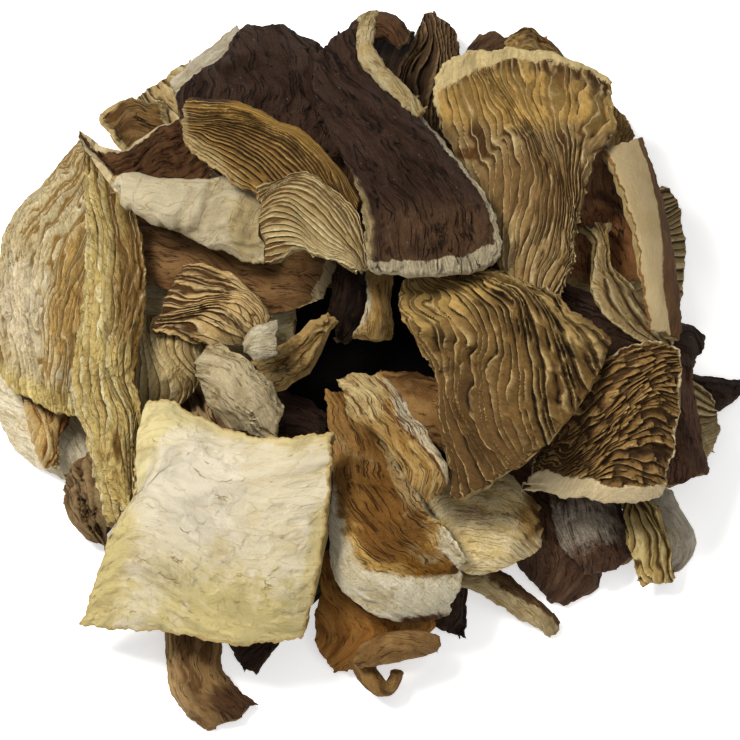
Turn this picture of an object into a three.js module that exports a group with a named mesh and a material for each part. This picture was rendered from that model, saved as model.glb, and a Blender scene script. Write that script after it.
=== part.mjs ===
// A cluster of dried oyster mushroom cuts, heaped loosely on a table. Millimetres, +Z up.
//
// Each cut is one thin curled sheet. It is lofted between a left and a right rail, has a front and
// a back face joined by a wall, and carries gills or fibre ridges on its front face. The rails are
// laid out on a plane that leans back from the table: x runs to the right, u up the slope and
// w out of it. The cuts are listed from the bottom of the heap to its top, and each is let down
// along w until it rests on the ones before it, bending a little to follow them.

import * as THREE from 'three';

const leanAngle = THREE.MathUtils.degToRad(20); // the layout plane's slope from the table
const moundRise = 16; // how much higher the cuts lie in the middle of the heap than at its rim
const moundReach = 78; // the heap's radius
const middleX = -0.2; // the heap's middle on the table, from where the layout plane starts
const middleY = -0.6;
const clearGap = 0.7; // space kept between a cut and what it rests on
const pressDepth = 0.5; // how far the lowest cuts are flattened by the table
const waveLength = 21; // of the slow buckles that drying leaves in a sheet
const tearLength = 8; // of the waves along a torn edge
const cellSize = 1; // of the height map that the cuts are stacked with
const mapHalf = 90; // half the height map's width
const mapCells = (2 * mapHalf) / cellSize;
const seedStep = 1.7; // between the seeds of one cut and the next

const colours = {
  capDark: 0x3a2a22,
  capBrown: 0x5b3d28,
  gillTan: 0xa98a55,
  gillBrown: 0x8a6537,
  gillDark: 0x4f3a28,
  gillPale: 0xc9b483,
  fleshCream: 0xd9cba0,
  fleshWhite: 0xe2dccb,
  fleshGold: 0xb98d4a,
};

// Cap skin is smooth, gills stand tall and flesh has low fibre ridges.
const finishes = {
  capDark: { ribDepth: 0 },
  capBrown: { ribDepth: 0 },
  gillTan: { ribDepth: 1.5 },
  gillBrown: { ribDepth: 1.4 },
  gillDark: { ribDepth: 1.4 },
  gillPale: { ribDepth: 1.2 },
  fleshCream: { ribDepth: 0.6 },
  fleshWhite: { ribDepth: 0.4 },
  fleshGold: { ribDepth: 0.9 },
};

const usual = {
  thick: 2.4, // of the sheet at its middle
  thin: 0.55, // share of the thickness left at the edges
  ribs: 0, // gills or ridges across the front face
  rows: 5, // steps along the rails
  columns: 5, // steps across a face without ribs
  ragged: 0.6, // how far the edges are torn in and out
  ripple: 0.9, // height of the drying buckles
  wave: 0, // an S across the sheet, low on the left and high on the right, as a share of its width
  ends: [0.5, 0.5], // how far the middle of each end stands out
  stiff: 0.35, // 1 keeps the sheet's own shape, 0 lets it follow the heap
  sink: 0, // how much further the table flattens a sheet that lies flat on it
};

// Each rail row is the left point, the right point and the height of the middle over them:
// [left x, u, w, right x, u, w, bulge]. Left is the left hand of someone walking down the rows.
const cuts = [
  // the bottom of the heap, spread on the table
  {
    name: 'cap_floor', finish: 'capDark',
    thick: 3, thin: 1, ends: [3, 3], stiff: 0, ripple: 0.3, sink: 1,
    rails: [[-25, 17, 0, -23, -17, 0, 0], [-3, 25, 0, -2, -27, 0, 0], [20, 18, 0, 21, -17, 0, 0]],
  },
  {
    name: 'cap_tip_low', finish: 'capDark', stiff: 0.1, ends: [2, 0],
    rails: [
      [-3, -20, 2, -22, -14, 2, 6], [-4, -37, 3, -30, -32, 2, 7],
      [-15.5, -51, 1, -29.5, -51, 1, 3], [-22, -60, 0, -24.5, -60.3, 0, 0],
    ],
  },
  {
    name: 'cap_tip_front', finish: 'capDark', stiff: 0.1, ends: [2, 0],
    rails: [
      [12, -18, 2, -3, -18, 2, 6], [20, -32, 2, 0, -34, 2, 6],
      [19, -45, 1, 7, -47, 1, 3], [18.8, -53.6, 0, 17, -53, 0, 0],
    ],
  },
  {
    name: 'cap_tip_right', finish: 'capDark', stiff: 0.1,
    rails: [
      [24, 13, 2, 22, -3, 2, 7], [45, 8, 3, 42, -14, 2, 7],
      [64, -1, 1, 63, -11, 1, 3], [75.6, -2.3, 0, 75.2, -4.6, 0, 0.5],
    ],
  },
  {
    name: 'cream_low_left', finish: 'fleshWhite', ribs: 4, thick: 3, stiff: 0.1,
    rails: [
      [-71, 2, 0, -76, -3, 0, 1], [-64, -4, 2, -72.5, -14, 0, 3],
      [-56, -9, 3, -66, -19.5, 1, 3], [-53, -16, 2, -58, -23, 1, 1],
    ],
  },
  {
    name: 'gill_dark_left', finish: 'gillDark', ribs: 7, stiff: 0.15,
    rails: [
      [-22, -14, 3, -26, 3, 3, 7], [-38, -26, 3, -44, -8, 3, 7],
      [-51, -31, 1, -61, -22, 1, 4], [-52.7, -35.5, 0, -56.5, -33, 0, 1],
    ],
  },
  {
    name: 'stem_low', finish: 'gillBrown', ribs: 5, rows: 7, thick: 3, stiff: 0.1,
    rails: [
      [-18, -24, 3, -30, -19, 3, 6], [-27, -39, 3, -40, -36, 3, 6],
      [-30, -53, 2, -40.3, -53, 2, 4], [-28.5, -61, 1, -38.7, -65, 1, 3],
      [-22.5, -66.5, 0, -32.5, -72, 0, 2],
    ],
  },
  {
    name: 'gill_bit_left', finish: 'gillPale', ribs: 6, stiff: 0.15,
    rails: [
      [-22, 22, 3, -9, 31, 3, 8], [-36, 38, 4, -22, 49, 4, 8], [-48, 54, 0, -37, 62.3, 1, 3],
    ],
  },
  {
    name: 'cap_bit_top', finish: 'capBrown', stiff: 0.15, ragged: 1,
    rails: [
      [8, 22, 3, 24, 20, 3, 8], [13, 44, 4, 28, 42, 4, 8], [19.5, 62, 1, 31, 60, 1, 4],
      [22.5, 67.5, 0, 29, 68, 0, 1],
    ],
  },
  {
    name: 'gill_edge_top', finish: 'gillTan', ribs: 6, stiff: 0.15,
    rails: [
      [22, 22, 3, 34, 12, 3, 8], [34, 40, 4, 46, 30, 4, 8], [46.5, 56.5, 1, 53.5, 47.5, 1, 2],
    ],
  },
  {
    name: 'gill_fringe_right', finish: 'gillPale', ribs: 9, stiff: 0.15, ragged: 0.9,
    rails: [
      [28, 27, 3, 29, 10, 3, 8], [46, 35, 4, 46, 9, 3, 8], [61, 37, 1, 62, 13, 1, 3],
    ],
    ends: [1, 2],
  },
  {
    name: 'prop_left', finish: 'fleshCream', ribs: 4, thick: 3, stiff: 0.15,
    rails: [[-16, 3, 3, -15, 19, 3, 8], [-38, 0, 3, -38, 22, 4, 9], [-66, 3, 0, -65, 24, 0, 4]],
  },
  {
    name: 'prop_top', finish: 'capBrown', thick: 3, stiff: 0.15,
    rails: [[-13, 17, 3, 4, 17, 3, 8], [-14, 42, 4, 8, 42, 4, 9], [-8, 66, 0, 9, 66, 0, 4]],
  },
  {
    name: 'gill_edge_right', finish: 'gillPale', ribs: 8, stiff: 0.15, ragged: 0.8,
    rails: [[43, 4, 2, 42, -16, 2, 6], [60, 0, 2, 60, -20, 2, 5], [69, -6, 0, 68.3, -17, 0, 2]],
    ends: [0.5, 1],
  },
  {
    name: 'cap_low_right', finish: 'capDark', stiff: 0.15, ragged: 1,
    rails: [
      [31, -12, 3, 15, -15, 3, 6], [42, -26, 3, 23, -31, 3, 6],
      [46.5, -39, 1, 30, -40, 1, 4], [43, -45.5, 0, 36, -46.5, 0, 1],
    ],
  },
  // the lower visible cuts round the rim
  {
    name: 'gill_low_left', finish: 'fleshGold', ribs: 6, stiff: 0.3,
    rails: [
      [-60, -9, 1, -71, -2.5, 0, 1], [-62, -14, 1, -68, -11, 0, 1.5],
      [-63, -19.5, 0, -65.5, -18, 0, 0.5],
    ],
  },
  {
    name: 'flesh_low_right', finish: 'fleshWhite', ribs: 3, thick: 3, stiff: 0.3,
    rails: [
      [60, -24, 2, 50, -23, 2, 2], [63, -30.5, 1, 54, -31, 1, 3], [64.9, -35.5, 0, 57.5, -37, 0, 2],
      [61.5, -40, 0, 59.5, -40.3, 0, 0.5],
    ],
  },
  {
    name: 'cap_grey_right', finish: 'capBrown', stiff: 0.3, ragged: 0.9, ripple: 1.4,
    rails: [
      [47, -22, 3, 36, -22, 3, 2], [50, -30.5, 2, 37, -33, 2, 3],
      [53.5, -37.5, 0, 43.5, -41, 0, 2],
    ],
  },
  {
    name: 'spike_low', finish: 'fleshCream', ribs: 3, thick: 3, stiff: 0.3,
    rails: [
      [17, -37, 2, 16, -41.5, 1, 1.5], [26, -40.5, 2, 24, -45.5, 1, 1.5],
      [32.5, -45, 1, 30, -49.7, 0, 1], [38, -51, 0, 36, -52.7, 0, 0.5],
    ],
  },
  {
    name: 'gill_low_right', finish: 'gillPale', ribs: 6, stiff: 0.4,
    rails: [
      [57.5, -27, 2, 50, -26, 2, 1], [59.5, -35, 1, 51.5, -35, 1, 1.5],
      [60.8, -41.5, 0, 54.5, -43.3, 0, 1],
    ],
  },
  {
    name: 'cap_right', finish: 'capBrown', stiff: 0.3, rows: 6,
    rails: [
      [65.5, 3, 2, 56, 4, 3, 1], [64.5, -4, 2, 55, -5, 3, 1.5], [66.3, -14, 1, 54, -13, 3, 1.5],
      [68, -20.5, 0, 57, -23.5, 2, 1],
    ],
  },
  {
    name: 'gill_top', finish: 'gillDark', ribs: 7, rows: 6, stiff: 0.8, ragged: 0.8,
    rails: [
      [7, 49, 2, 14, 51, 2, 1], [5, 60, 2, 16.5, 60, 3, 1.5], [8.3, 66.5, 2, 18.5, 66.5, 3, 1],
      [11.3, 72.5, 1, 13.3, 72.3, 1, 0.5],
    ],
  },
  {
    name: 'cap_bit_right', finish: 'fleshGold', ribs: 4, stiff: 0.5, ragged: 1, ripple: 1.6,
    rails: [
      [27.5, 67, 1, 28, 62, 2, 1.5], [31.5, 69.2, 1, 31.5, 60, 2, 2.5],
      [35.5, 67.2, 1, 34.5, 59, 2, 2.5],
      [39.5, 62.5, 1, 39, 58, 2, 1],
    ],
  },
  {
    name: 'flesh_back', finish: 'fleshWhite', ribs: 3, thick: 3, stiff: 0.5,
    rails: [
      [-40.5, 58, 0, -36, 51, 2, 1.5], [-35, 63, 1, -29, 55, 3, 1.5],
      [-27.2, 69.3, 1, -22, 60, 3, 1],
    ],
  },
  {
    name: 'cap_bit_left', finish: 'capBrown', stiff: 0.4, ripple: 1.4,
    rails: [
      [-54.3, 52, 2, -52, 47, 3, -1.5], [-50, 54.7, 1, -47, 43, 3, -2.5],
      [-42, 54.5, 2, -40, 44, 3, -1],
    ],
  },
  {
    name: 'brown_right', finish: 'capBrown', rows: 6, stiff: 0.3, ripple: 1.3,
    rails: [[53, 43, 1, 42, 46, 2, -2], [54, 31, 1, 39, 33, 1, -3], [56, 18, 1, 37, 18, 1, -3]],
  },
  {
    name: 'cap_band_right', finish: 'capDark', rows: 6, stiff: 0.4, ragged: 0.8,
    rails: [
      [35, 19, 3, 34, 10, 2, 1], [45, 15, 3, 43, 5, 2, 1.5], [53, 11, 3, 50, 0, 2, 1.5],
      [62, 9.5, 2, 59, -1, 2, 1.5], [66.8, 6.5, 1, 64.5, 2, 1, 0.5],
    ],
  },
  {
    name: 'flesh_fold_right', finish: 'fleshGold', ribs: 4, rows: 10, stiff: 0.5, ragged: 0.4,
    rails: [
      [48.2, 29, 3, 41.2, 28.4, 2, 0.5], [47.6, 24.6, 3, 44.4, 24.8, 2, 0.8],
      [47.6, 20.6, 3, 44.4, 19.6, 3, 1], [52.4, 16, 3, 44.8, 13.6, 3, 2],
      [57, 10, 2, 51, 7.8, 2, 1.5], [60.2, 5.6, 1, 58.6, 4.4, 1, 0.5],
    ],
  },
  {
    name: 'stick_right', finish: 'fleshCream',
    ribs: 3, rows: 6, thick: 4, thin: 0.8, stiff: 0.7, ripple: 0.4,
    ragged: 0.3,
    rails: [
      [53.7, 46, 1, 46.8, 43, 3, 1], [56.5, 37, 1, 50.3, 34.5, 4, 1], [59, 26, 1, 53, 25, 4, 1],
      [60.8, 15, 1, 54.2, 15, 3, 1], [61, 6, 0, 56.5, 8.5, 1, 0.5],
    ],
  },
  {
    name: 'gill_under_fan', finish: 'fleshCream', ribs: 6, stiff: 0.3,
    rails: [[-33, 11, 2, -46, 11, 2, 1], [-33.5, 3, 2, -47, 2, 2, 1.5], [-35, -3.5, 1, -46, -6, 1, 1]],
    ends: [0.5, 1],
  },
  {
    name: 'brown_mid', finish: 'gillBrown', ribs: 7, rows: 7, stiff: 0.4,
    rails: [
      [-46, 32, 2, -46, 19, 2, 1], [-36, 29, 2, -37, 15, 2, 2], [-25, 25, 3, -27, 11, 2, 2],
      [-14, 24.5, 3, -18, 11.3, 1, 2], [-7, 21.5, 1, -9.5, 14.5, 0, 0.5],
    ],
  },
  {
    name: 'cap_bit_mid', finish: 'capDark', stiff: 0.4,
    rails: [
      [-19, -3, 2, -20, -15, 2, 1], [-13, -6, 1, -14, -16, 1, 1],
      [-8.8, -8.5, 0, -9, -14, 0, 0.5],
    ],
  },
  {
    name: 'cap_center', finish: 'capDark', stiff: 0.6,
    rails: [
      [-1, 23, 3, -6, 24, 3, 1], [-0.3, 13.5, 2, -7.8, 13, 1, 2],
      [-4.4, 5.2, 1, -6.3, 5.4, 0, 0.5],
    ],
  },
  {
    name: 'gill_center_strip', finish: 'fleshGold', ribs: 3, stiff: 0.6,
    rails: [[4.5, 22, 3, -1.5, 22, 3, 1], [4, 12.5, 2, -0.5, 12.5, 2, 1], [4.4, 6, 1, -3.6, 6.6, 1, 1]],
  },
  {
    name: 'gill_inner_right', finish: 'gillBrown', ribs: 4, stiff: 0.4,
    rails: [[1.5, -0.5, 2, 2, -8, 1, 1], [8, -0.6, 2, 8, -11, 1, 1], [15, -1.5, 2, 15.5, -17, 1, 1]],
  },
  {
    name: 'knob_low_right', finish: 'fleshCream',
    ribs: 5, rows: 6, thick: 4, stiff: 0.4, ripple: 1.8, ragged: 1,
    rails: [
      [9, -24, 1, 12, -33, 0, 1], [18, -22, 2, 18, -39.7, 1, 3], [27, -21.5, 2, 26, -39.2, 1, 4],
      [33.2, -28, 0, 33, -35, 0, 2],
    ],
    ends: [0.5, 1],
  },
  {
    name: 'brown_front', finish: 'gillBrown', ribs: 9, rows: 6, stiff: 0.4,
    rails: [
      [3, -38, 3, -9, -36, 3, 2], [8, -45, 3, -10, -45, 2, 2], [13.5, -50.6, 1, -11, -53.5, 1, 3],
      [4, -57.5, 0, -7, -60, 0, 2],
    ],
    ends: [0.5, 1],
  },
  {
    name: 'hook_front', finish: 'gillBrown', ribs: 2, rows: 7, stiff: 0.7, ragged: 0.3, ripple: 0.3,
    rails: [
      [0.5, -56.5, 4, -4, -58.5, 1, 0.5], [1.8, -60.8, 4, -1.5, -62.5, 1, 0.5],
      [3.6, -62.2, 4, 2.8, -64.8, 1, 0.5], [4.4, -60, 4, 6.3, -60.3, 1, 0.5],
    ],
  },
  {
    name: 'roll_front', finish: 'gillBrown',
    ribs: 3, rows: 5, thick: 2.6, stiff: 0.6, ripple: 0.4, ragged: 0.3,
    rails: [
      [-1.5, -54.6, 0, -3, -59.5, 0, 1.5], [3.5, -52.7, 0, 3, -58, 0, 3], [9, -52.2, 0, 9, -56.6, 0, 3],
      [13.6, -53.2, 0, 13.2, -55.4, 0, 1],
    ],
  },
  // the upper left
  {
    name: 'fan_left', finish: 'fleshCream',
    ribs: 10, rows: 8, thick: 3, stiff: 0.35, ripple: 1.3, ragged: 0.8,
    rails: [
      [-56, 45, 4, -58.7, 46.5, 2, 0], [-53, 35, 5, -65.5, 37.5, 1, 2], [-53, 23, 6, -73.5, 28, 0, 4],
      [-56, 8, 6, -75.5, 12, 0, 5], [-58, -9.3, 3, -74, -1.5, 0, 3],
    ],
    ends: [0.5, 1.5],
  },
  {
    name: 'strip_left', finish: 'fleshGold', ribs: 7, rows: 9, thick: 3, stiff: 0.35, ripple: 1.3,
    rails: [
      [-50, 41, 4, -57.5, 44, 3, 0.5], [-45.5, 28, 4, -56, 28, 3, 1.5], [-44.3, 14, 4, -57, 12, 3, 2],
      [-46.5, 1, 4, -58.8, -3, 2, 2], [-44.7, -9, 4, -56.4, -13, 1, 1.5],
      [-46, -24, 2, -51.7, -31.5, 0, 0.5],
    ],
  },
  {
    name: 'brown_left', finish: 'capBrown', rows: 6, stiff: 0.4, ripple: 1.4,
    rails: [
      [-58.5, 48.3, 3, -57.5, 45, 2, 0], [-51, 43.5, 3, -50.5, 36.5, 2, -2],
      [-43, 48.5, 2, -43, 33, 2, -3],
      [-35, 53.5, 2, -31, 35, 2, -2],
    ],
  },
  {
    name: 'lip_left', finish: 'fleshWhite', ribs: 3, rows: 8, thick: 3.2, stiff: 0.5, ripple: 0.6,
    rails: [
      [-51.2, 39, 1, -51.2, 35.5, 0, 1.5], [-44, 38.2, 1, -45, 30.7, 0, 3.5],
      [-36, 37.4, 1, -37, 27, 0, 4],
      [-28, 38.2, 2, -29, 23.7, 1, 4], [-20, 36, 2, -21, 20.8, 1, 3],
    ],
  },
  // the back, dark caps
  {
    name: 'cap_back', finish: 'capDark',
    rows: 7, columns: 7, thick: 2.8, stiff: 0.55, ripple: 1.2, ragged: 1,
    rails: [
      [-11, 66, 2, -26, 69.6, 2, 1], [-6.5, 60, 3, -31, 62, 2, 3], [-5, 50, 3, -38.5, 56, 2, 3],
      [-7, 43, 2, -37, 48, 2, 1],
    ],
    ends: [1.5, 0],
  },
  {
    name: 'roll_top', finish: 'capBrown', rows: 6, stiff: 0.6, ragged: 0.3, ripple: 0.3,
    rails: [
      [-5.5, 66.5, 3, -3, 62, 0, 1], [-2.5, 71.6, 4, 0, 66.5, 0, 1], [3.5, 72.6, 4, 3.5, 67, 0, 1],
      [8.3, 68.3, 3, 5.8, 65, 0, 1],
    ],
  },
  {
    name: 'gill_brown_mid', finish: 'gillBrown', ribs: 9, rows: 8, thick: 2.6, stiff: 0.45,
    rails: [
      [-36.5, 54.6, 2, -37.5, 46, 2, 0.5], [-28, 53.6, 3, -31, 39.5, 2, 1.5],
      [-18, 49.8, 4, -22, 34.5, 2, 2],
      [-9, 43.6, 4, -12, 29, 2, 2], [-2.5, 34, 3, -6, 22, 2, 1],
    ],
  },
  {
    name: 'gill_pale_mid', finish: 'gillPale', ribs: 10, rows: 8, thick: 2.6, stiff: 0.5, ragged: 0.8,
    rails: [
      [-22, 37, 1, -20.5, 20.4, 1, 1], [-15, 38.6, 2, -16, 23.2, 1, 2], [-8, 36.8, 2, -11, 22.6, 1, 2],
      [-3, 30.5, 2, -6, 21.2, 1, 1.5], [-0.5, 21, 1, -2.8, 18.8, 1, 0.5],
    ],
  },
  // the middle left
  {
    name: 'gill_curl_mid', finish: 'gillTan', ribs: 4, rows: 6, stiff: 0.5, ripple: 1.2, ragged: 0.9,
    rails: [
      [-23.5, 2.5, 2, -20.5, -3.6, 1, -1], [-17, 4.8, 3, -13.7, -1.8, 1, -1.5],
      [-12, 8.8, 3, -9.7, 4, 1, -1],
      [-8.3, 11.6, 2, -6.8, 9.7, 1, 0],
    ],
  },
  {
    name: 'gill_small_mid', finish: 'gillTan', ribs: 9, rows: 6, thick: 2.6, stiff: 0.6,
    rails: [
      [-37, 20.8, 1, -43.3, 7.6, 1, 1], [-30, 20.2, 2, -36, 5.6, 1, 3], [-24, 15.8, 2, -29, 5, 1, 3],
      [-20.4, 10.4, 1, -23, 6.2, 1, 1],
    ],
  },
  {
    name: 'chip_white', finish: 'fleshWhite', ribs: 2, thick: 3, stiff: 0.6, rows: 4,
    rails: [
      [-24.2, 6, 0, -25, 4.2, 0, 0.5], [-21.6, 8.9, 1, -22.4, 1.9, 0, 1.5],
      [-18.6, 9.6, 0, -18.6, 3.2, 0, 1],
    ],
  },
  {
    name: 'oblong_cream', finish: 'fleshWhite', ribs: 4, rows: 6, thick: 3.6, stiff: 0.6,
    rails: [
      [-31, 4.8, 0, -34.6, 1.5, 0, 1], [-25.5, 2, 1, -32.2, -5.2, 0, 3], [-20.3, -3, 1, -28, -11, 0, 3],
      [-17.3, -8, 0, -19.2, -13.8, 0, 1.5],
    ],
  },
  // the right side
  {
    name: 'gill_right_fan', finish: 'gillTan', ribs: 12, rows: 7, thick: 2.8, stiff: 0.45,
    rails: [
      [33, -18, 0, 30.5, -24, 0, 0.5], [40, -7, 2, 38, -25, 0, 2], [47, 2.5, 3, 45, -26, 1, 3],
      [54.5, 5.5, 3, 52, -26.6, 1, 3], [61.5, 4, 2, 57.5, -25.2, 1, 2],
    ],
    ends: [0, 1.5],
  },
  {
    name: 'gill_slab_top', finish: 'gillTan', ribs: 12, rows: 9, thick: 3.2, stiff: 0.55, ripple: 1.2,
    rails: [
      [48, 57, 1, 12.4, 60, 1, 2], [48.7, 48.5, 2, 13.5, 50, 1, 3], [44, 40, 3, 18.5, 41, 1, 3],
      [41.3, 30, 3, 22, 32, 1, 2], [39.8, 21, 2, 24.5, 24, 1, 1.5], [37.3, 15, 1, 27, 17.5, 1, 1],
    ],
    ends: [5, 0],
  },
  {
    name: 'gill_center', finish: 'gillTan', ribs: 14, rows: 8, thick: 2.8, stiff: 0.5, ripple: 1.3,
    rails: [
      [12, 21, 1, 6, 17.5, 1, 0.5], [21, 19, 3, 7, 9, 1, 2], [31, 15.6, 4, 12.5, 1, 1, 3],
      [40, 12, 4, 14, -10, 1, 4], [48.3, 6.3, 2, 16.5, -26, 1, 3],
    ],
    ends: [0, 5],
  },
  // the front
  {
    name: 'boat_front', finish: 'fleshCream',
    ribs: 8, rows: 8, thick: 3.4, wave: 0.13, stiff: 0.6, ragged: 0.4,
    rails: [
      [-2, -5, 3, -8.4, -4.5, 2, -1], [1.5, -14, 3, -7.3, -15, 2, -1], [4, -22, 3, -7, -27, 1, 0],
      [9, -28.5, 3, -6.5, -40, 0, 1], [15, -31.5, 3, 4, -49.2, 0, 2],
      [18.5, -37, 2, 15.5, -47.5, 0, 1.5],
    ],
    ends: [0.5, 1],
  },
  {
    name: 'strip_mid', finish: 'fleshGold', ribs: 5, rows: 7, thick: 2.8, stiff: 0.6, ragged: 0.8,
    rails: [
      [2.5, -0.5, 1, -5.7, -2, 1, 1], [8, -8.3, 1, -4, -8.5, 1, 2], [12, -14, 1, 2.2, -13.5, 1, 2],
      [15, -20, 1, 6.7, -20.5, 1, 2], [14.3, -23.8, 0, 10.7, -25.6, 0, 0.5],
    ],
  },
  {
    name: 'slab_front', finish: 'fleshCream',
    ribs: 7, rows: 7, thick: 4, thin: 0.75, stiff: 0.55, ripple: 0.7,
    ragged: 0.4,
    rails: [
      [-44.2, -7.6, 2, -57.6, -50.8, 0, 2], [-41.5, -6, 3, -50, -51.4, 0, 3],
      [-33, -10.5, 1, -38, -52.2, 0, 4],
      [-20, -14, 1, -25, -54.3, 0, 4], [-7.4, -12.6, 2, -13.5, -53.2, 0, 2.5],
    ],
    ends: [-1, 1.5],
  },
  {
    name: 'cap_wedge', finish: 'capDark',
    rows: 8, columns: 7, thick: 3.2, thin: 0.7, stiff: 0.6, ripple: 0.7,
    ragged: 0.5,
    rails: [
      [-1.5, 69, 1, -7.5, 66.5, 1, 0], [1, 59, 2, -11, 60, 1, 1.5], [10, 50.3, 2, -9.3, 50, 1, 3],
      [18, 40.4, 2, -3.6, 39, 1, 3], [24.6, 30.5, 2, -0.8, 29.5, 1, 2.5],
      [26, 20.8, 1, -0.5, 19.8, 1, 1.5],
    ],
    ends: [0, 1.6],
  },
  {
    name: 'rim_roll', finish: 'fleshCream',
    ribs: 2, rows: 8, thick: 2.4, stiff: 0.4, ragged: 0.3, ripple: 0.4,
    rails: [
      [1.6, 72, 0, -2, 71, 0, 0.5], [0.6, 66, 1, -2.2, 65, 0, 1], [1.6, 62.5, 1, -1.2, 60.5, 0, 1],
      [5.2, 58.4, 1, 2.8, 56.4, 0, 1], [11, 51.5, 0, 9.6, 50.2, 0, 0.5],
    ],
  },
];

// A smooth curve through evenly spaced values, at share t of the way along.
function through(values, t) {
  const last = values.length - 1;
  const i = Math.min(last - 1, Math.floor(t * last));
  const f = t * last - i;
  const at = (k) => {
    if (k < 0) return 2 * values[0] - values[1];
    if (k > last) return 2 * values[last] - values[last - 1];
    return values[k];
  };
  const [a, b, c, d] = [at(i - 1), at(i), at(i + 1), at(i + 2)];
  return b + 0.5 * f * (c - a + f * (2 * a - 5 * b + 4 * c - d + f * (3 * (b - c) + d - a)));
}

// Irregular waves of height about 1, the same every time for the same seed.
function tearWave(distance, seed) {
  const q = (2 * Math.PI * distance) / tearLength + seed;
  return 0.5 * Math.sin(q) + 0.3 * Math.sin(2.3 * q + 1.3) + 0.2 * Math.sin(5.1 * q + 4.1);
}

function buckle(x, u, seed) {
  const k = (2 * Math.PI) / waveLength;
  return (
    0.5 * Math.sin(k * (0.8 * x + 0.6 * u) + seed) +
    0.3 * Math.sin(k * (1.5 * u - 0.9 * x) + 2.1 * seed) +
    0.2 * Math.sin(k * (2.6 * x + 1.7 * u) + 3.7 * seed)
  );
}

// The slope that every cut takes from the heap: level with the table, and falling to the rim.
function mound(x, u) {
  return moundRise * (1 - (x * x + u * u) / (moundReach * moundReach)) - u * Math.tan(leanAngle);
}

// The sheet's middle at share s from the left rail to the right one and t along them.
function middle(cut, s, t) {
  const [lx, lu, lw, rx, ru, rw, bulge] = cut.columnsOfRails.map((column) => through(column, t));
  const wide = Math.hypot(rx - lx, ru - lu);
  const acrossX = (rx - lx) / wide;
  const acrossU = (ru - lu) / wide;
  const crown = 4 * s * (1 - s);
  const tearLeft = Math.pow(1 - s, 6) * tearWave(t * cut.long, cut.seed);
  const tearRight = Math.pow(s, 6) * tearWave(t * cut.long, cut.seed + 2);
  const tearStart = Math.pow(1 - t, 6) * tearWave(s * wide, cut.seed + 4);
  const tearEnd = Math.pow(t, 6) * tearWave(s * wide, cut.seed + 6);
  const sideways = cut.ragged * (tearRight - tearLeft);
  const endways = crown * (cut.ends[1] * Math.pow(t, 4) - cut.ends[0] * Math.pow(1 - t, 4));
  const forward = endways + cut.ragged * (tearEnd - tearStart);
  const x = lx + (rx - lx) * s + acrossX * sideways - acrossU * forward;
  const u = lu + (ru - lu) * s + acrossU * sideways + acrossX * forward;
  const w = lw + (rw - lw) * s + bulge * crown + cut.wave * wide * Math.sin(-2 * Math.PI * s);
  return new THREE.Vector3(x, u, w + mound(x, u) + cut.ripple * buckle(x, u, cut.seed));
}

// The middle point and the direction the front face looks in.
function framed(cut, s, t) {
  const step = 0.01;
  const s0 = Math.max(0, s - step);
  const s1 = Math.min(1, s + step);
  const t0 = Math.max(0, t - step);
  const t1 = Math.min(1, t + step);
  const across = middle(cut, s1, t).sub(middle(cut, s0, t));
  const along = middle(cut, s, t1).sub(middle(cut, s, t0));
  return { point: middle(cut, s, t), normal: across.cross(along).normalize() };
}

function halfThickness(cut, s, t) {
  const edge = Math.max(Math.pow(Math.abs(2 * s - 1), 6), Math.pow(Math.abs(2 * t - 1), 8));
  return 0.5 * cut.thick * (1 - (1 - cut.thin) * edge);
}

// Gills wander a little, differ in height, stay lower than they are apart and run out towards
// the start of the sheet.
function ribShare(cut, column, columns, t) {
  const s = column / columns;
  const room = 0.35 / columns;
  return s + 4 * s * (1 - s) * room * Math.sin(5 * t + 3 * s + cut.seed) * cut.ribs;
}

function ribHeight(cut, column, t) {
  const [lx, lu, , rx, ru] = cut.columnsOfRails.map((values) => through(values, t));
  const apart = Math.hypot(rx - lx, ru - lu) / cut.ribs;
  const tall = 0.8 + 0.2 * Math.sin(2.7 * column + cut.seed);
  const fade = Math.min(1, 0.45 + 1.6 * t);
  return Math.min(cut.ribDepth, apart) * tall * fade * (column % 2 ? 0.5 : -0.5);
}

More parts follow.
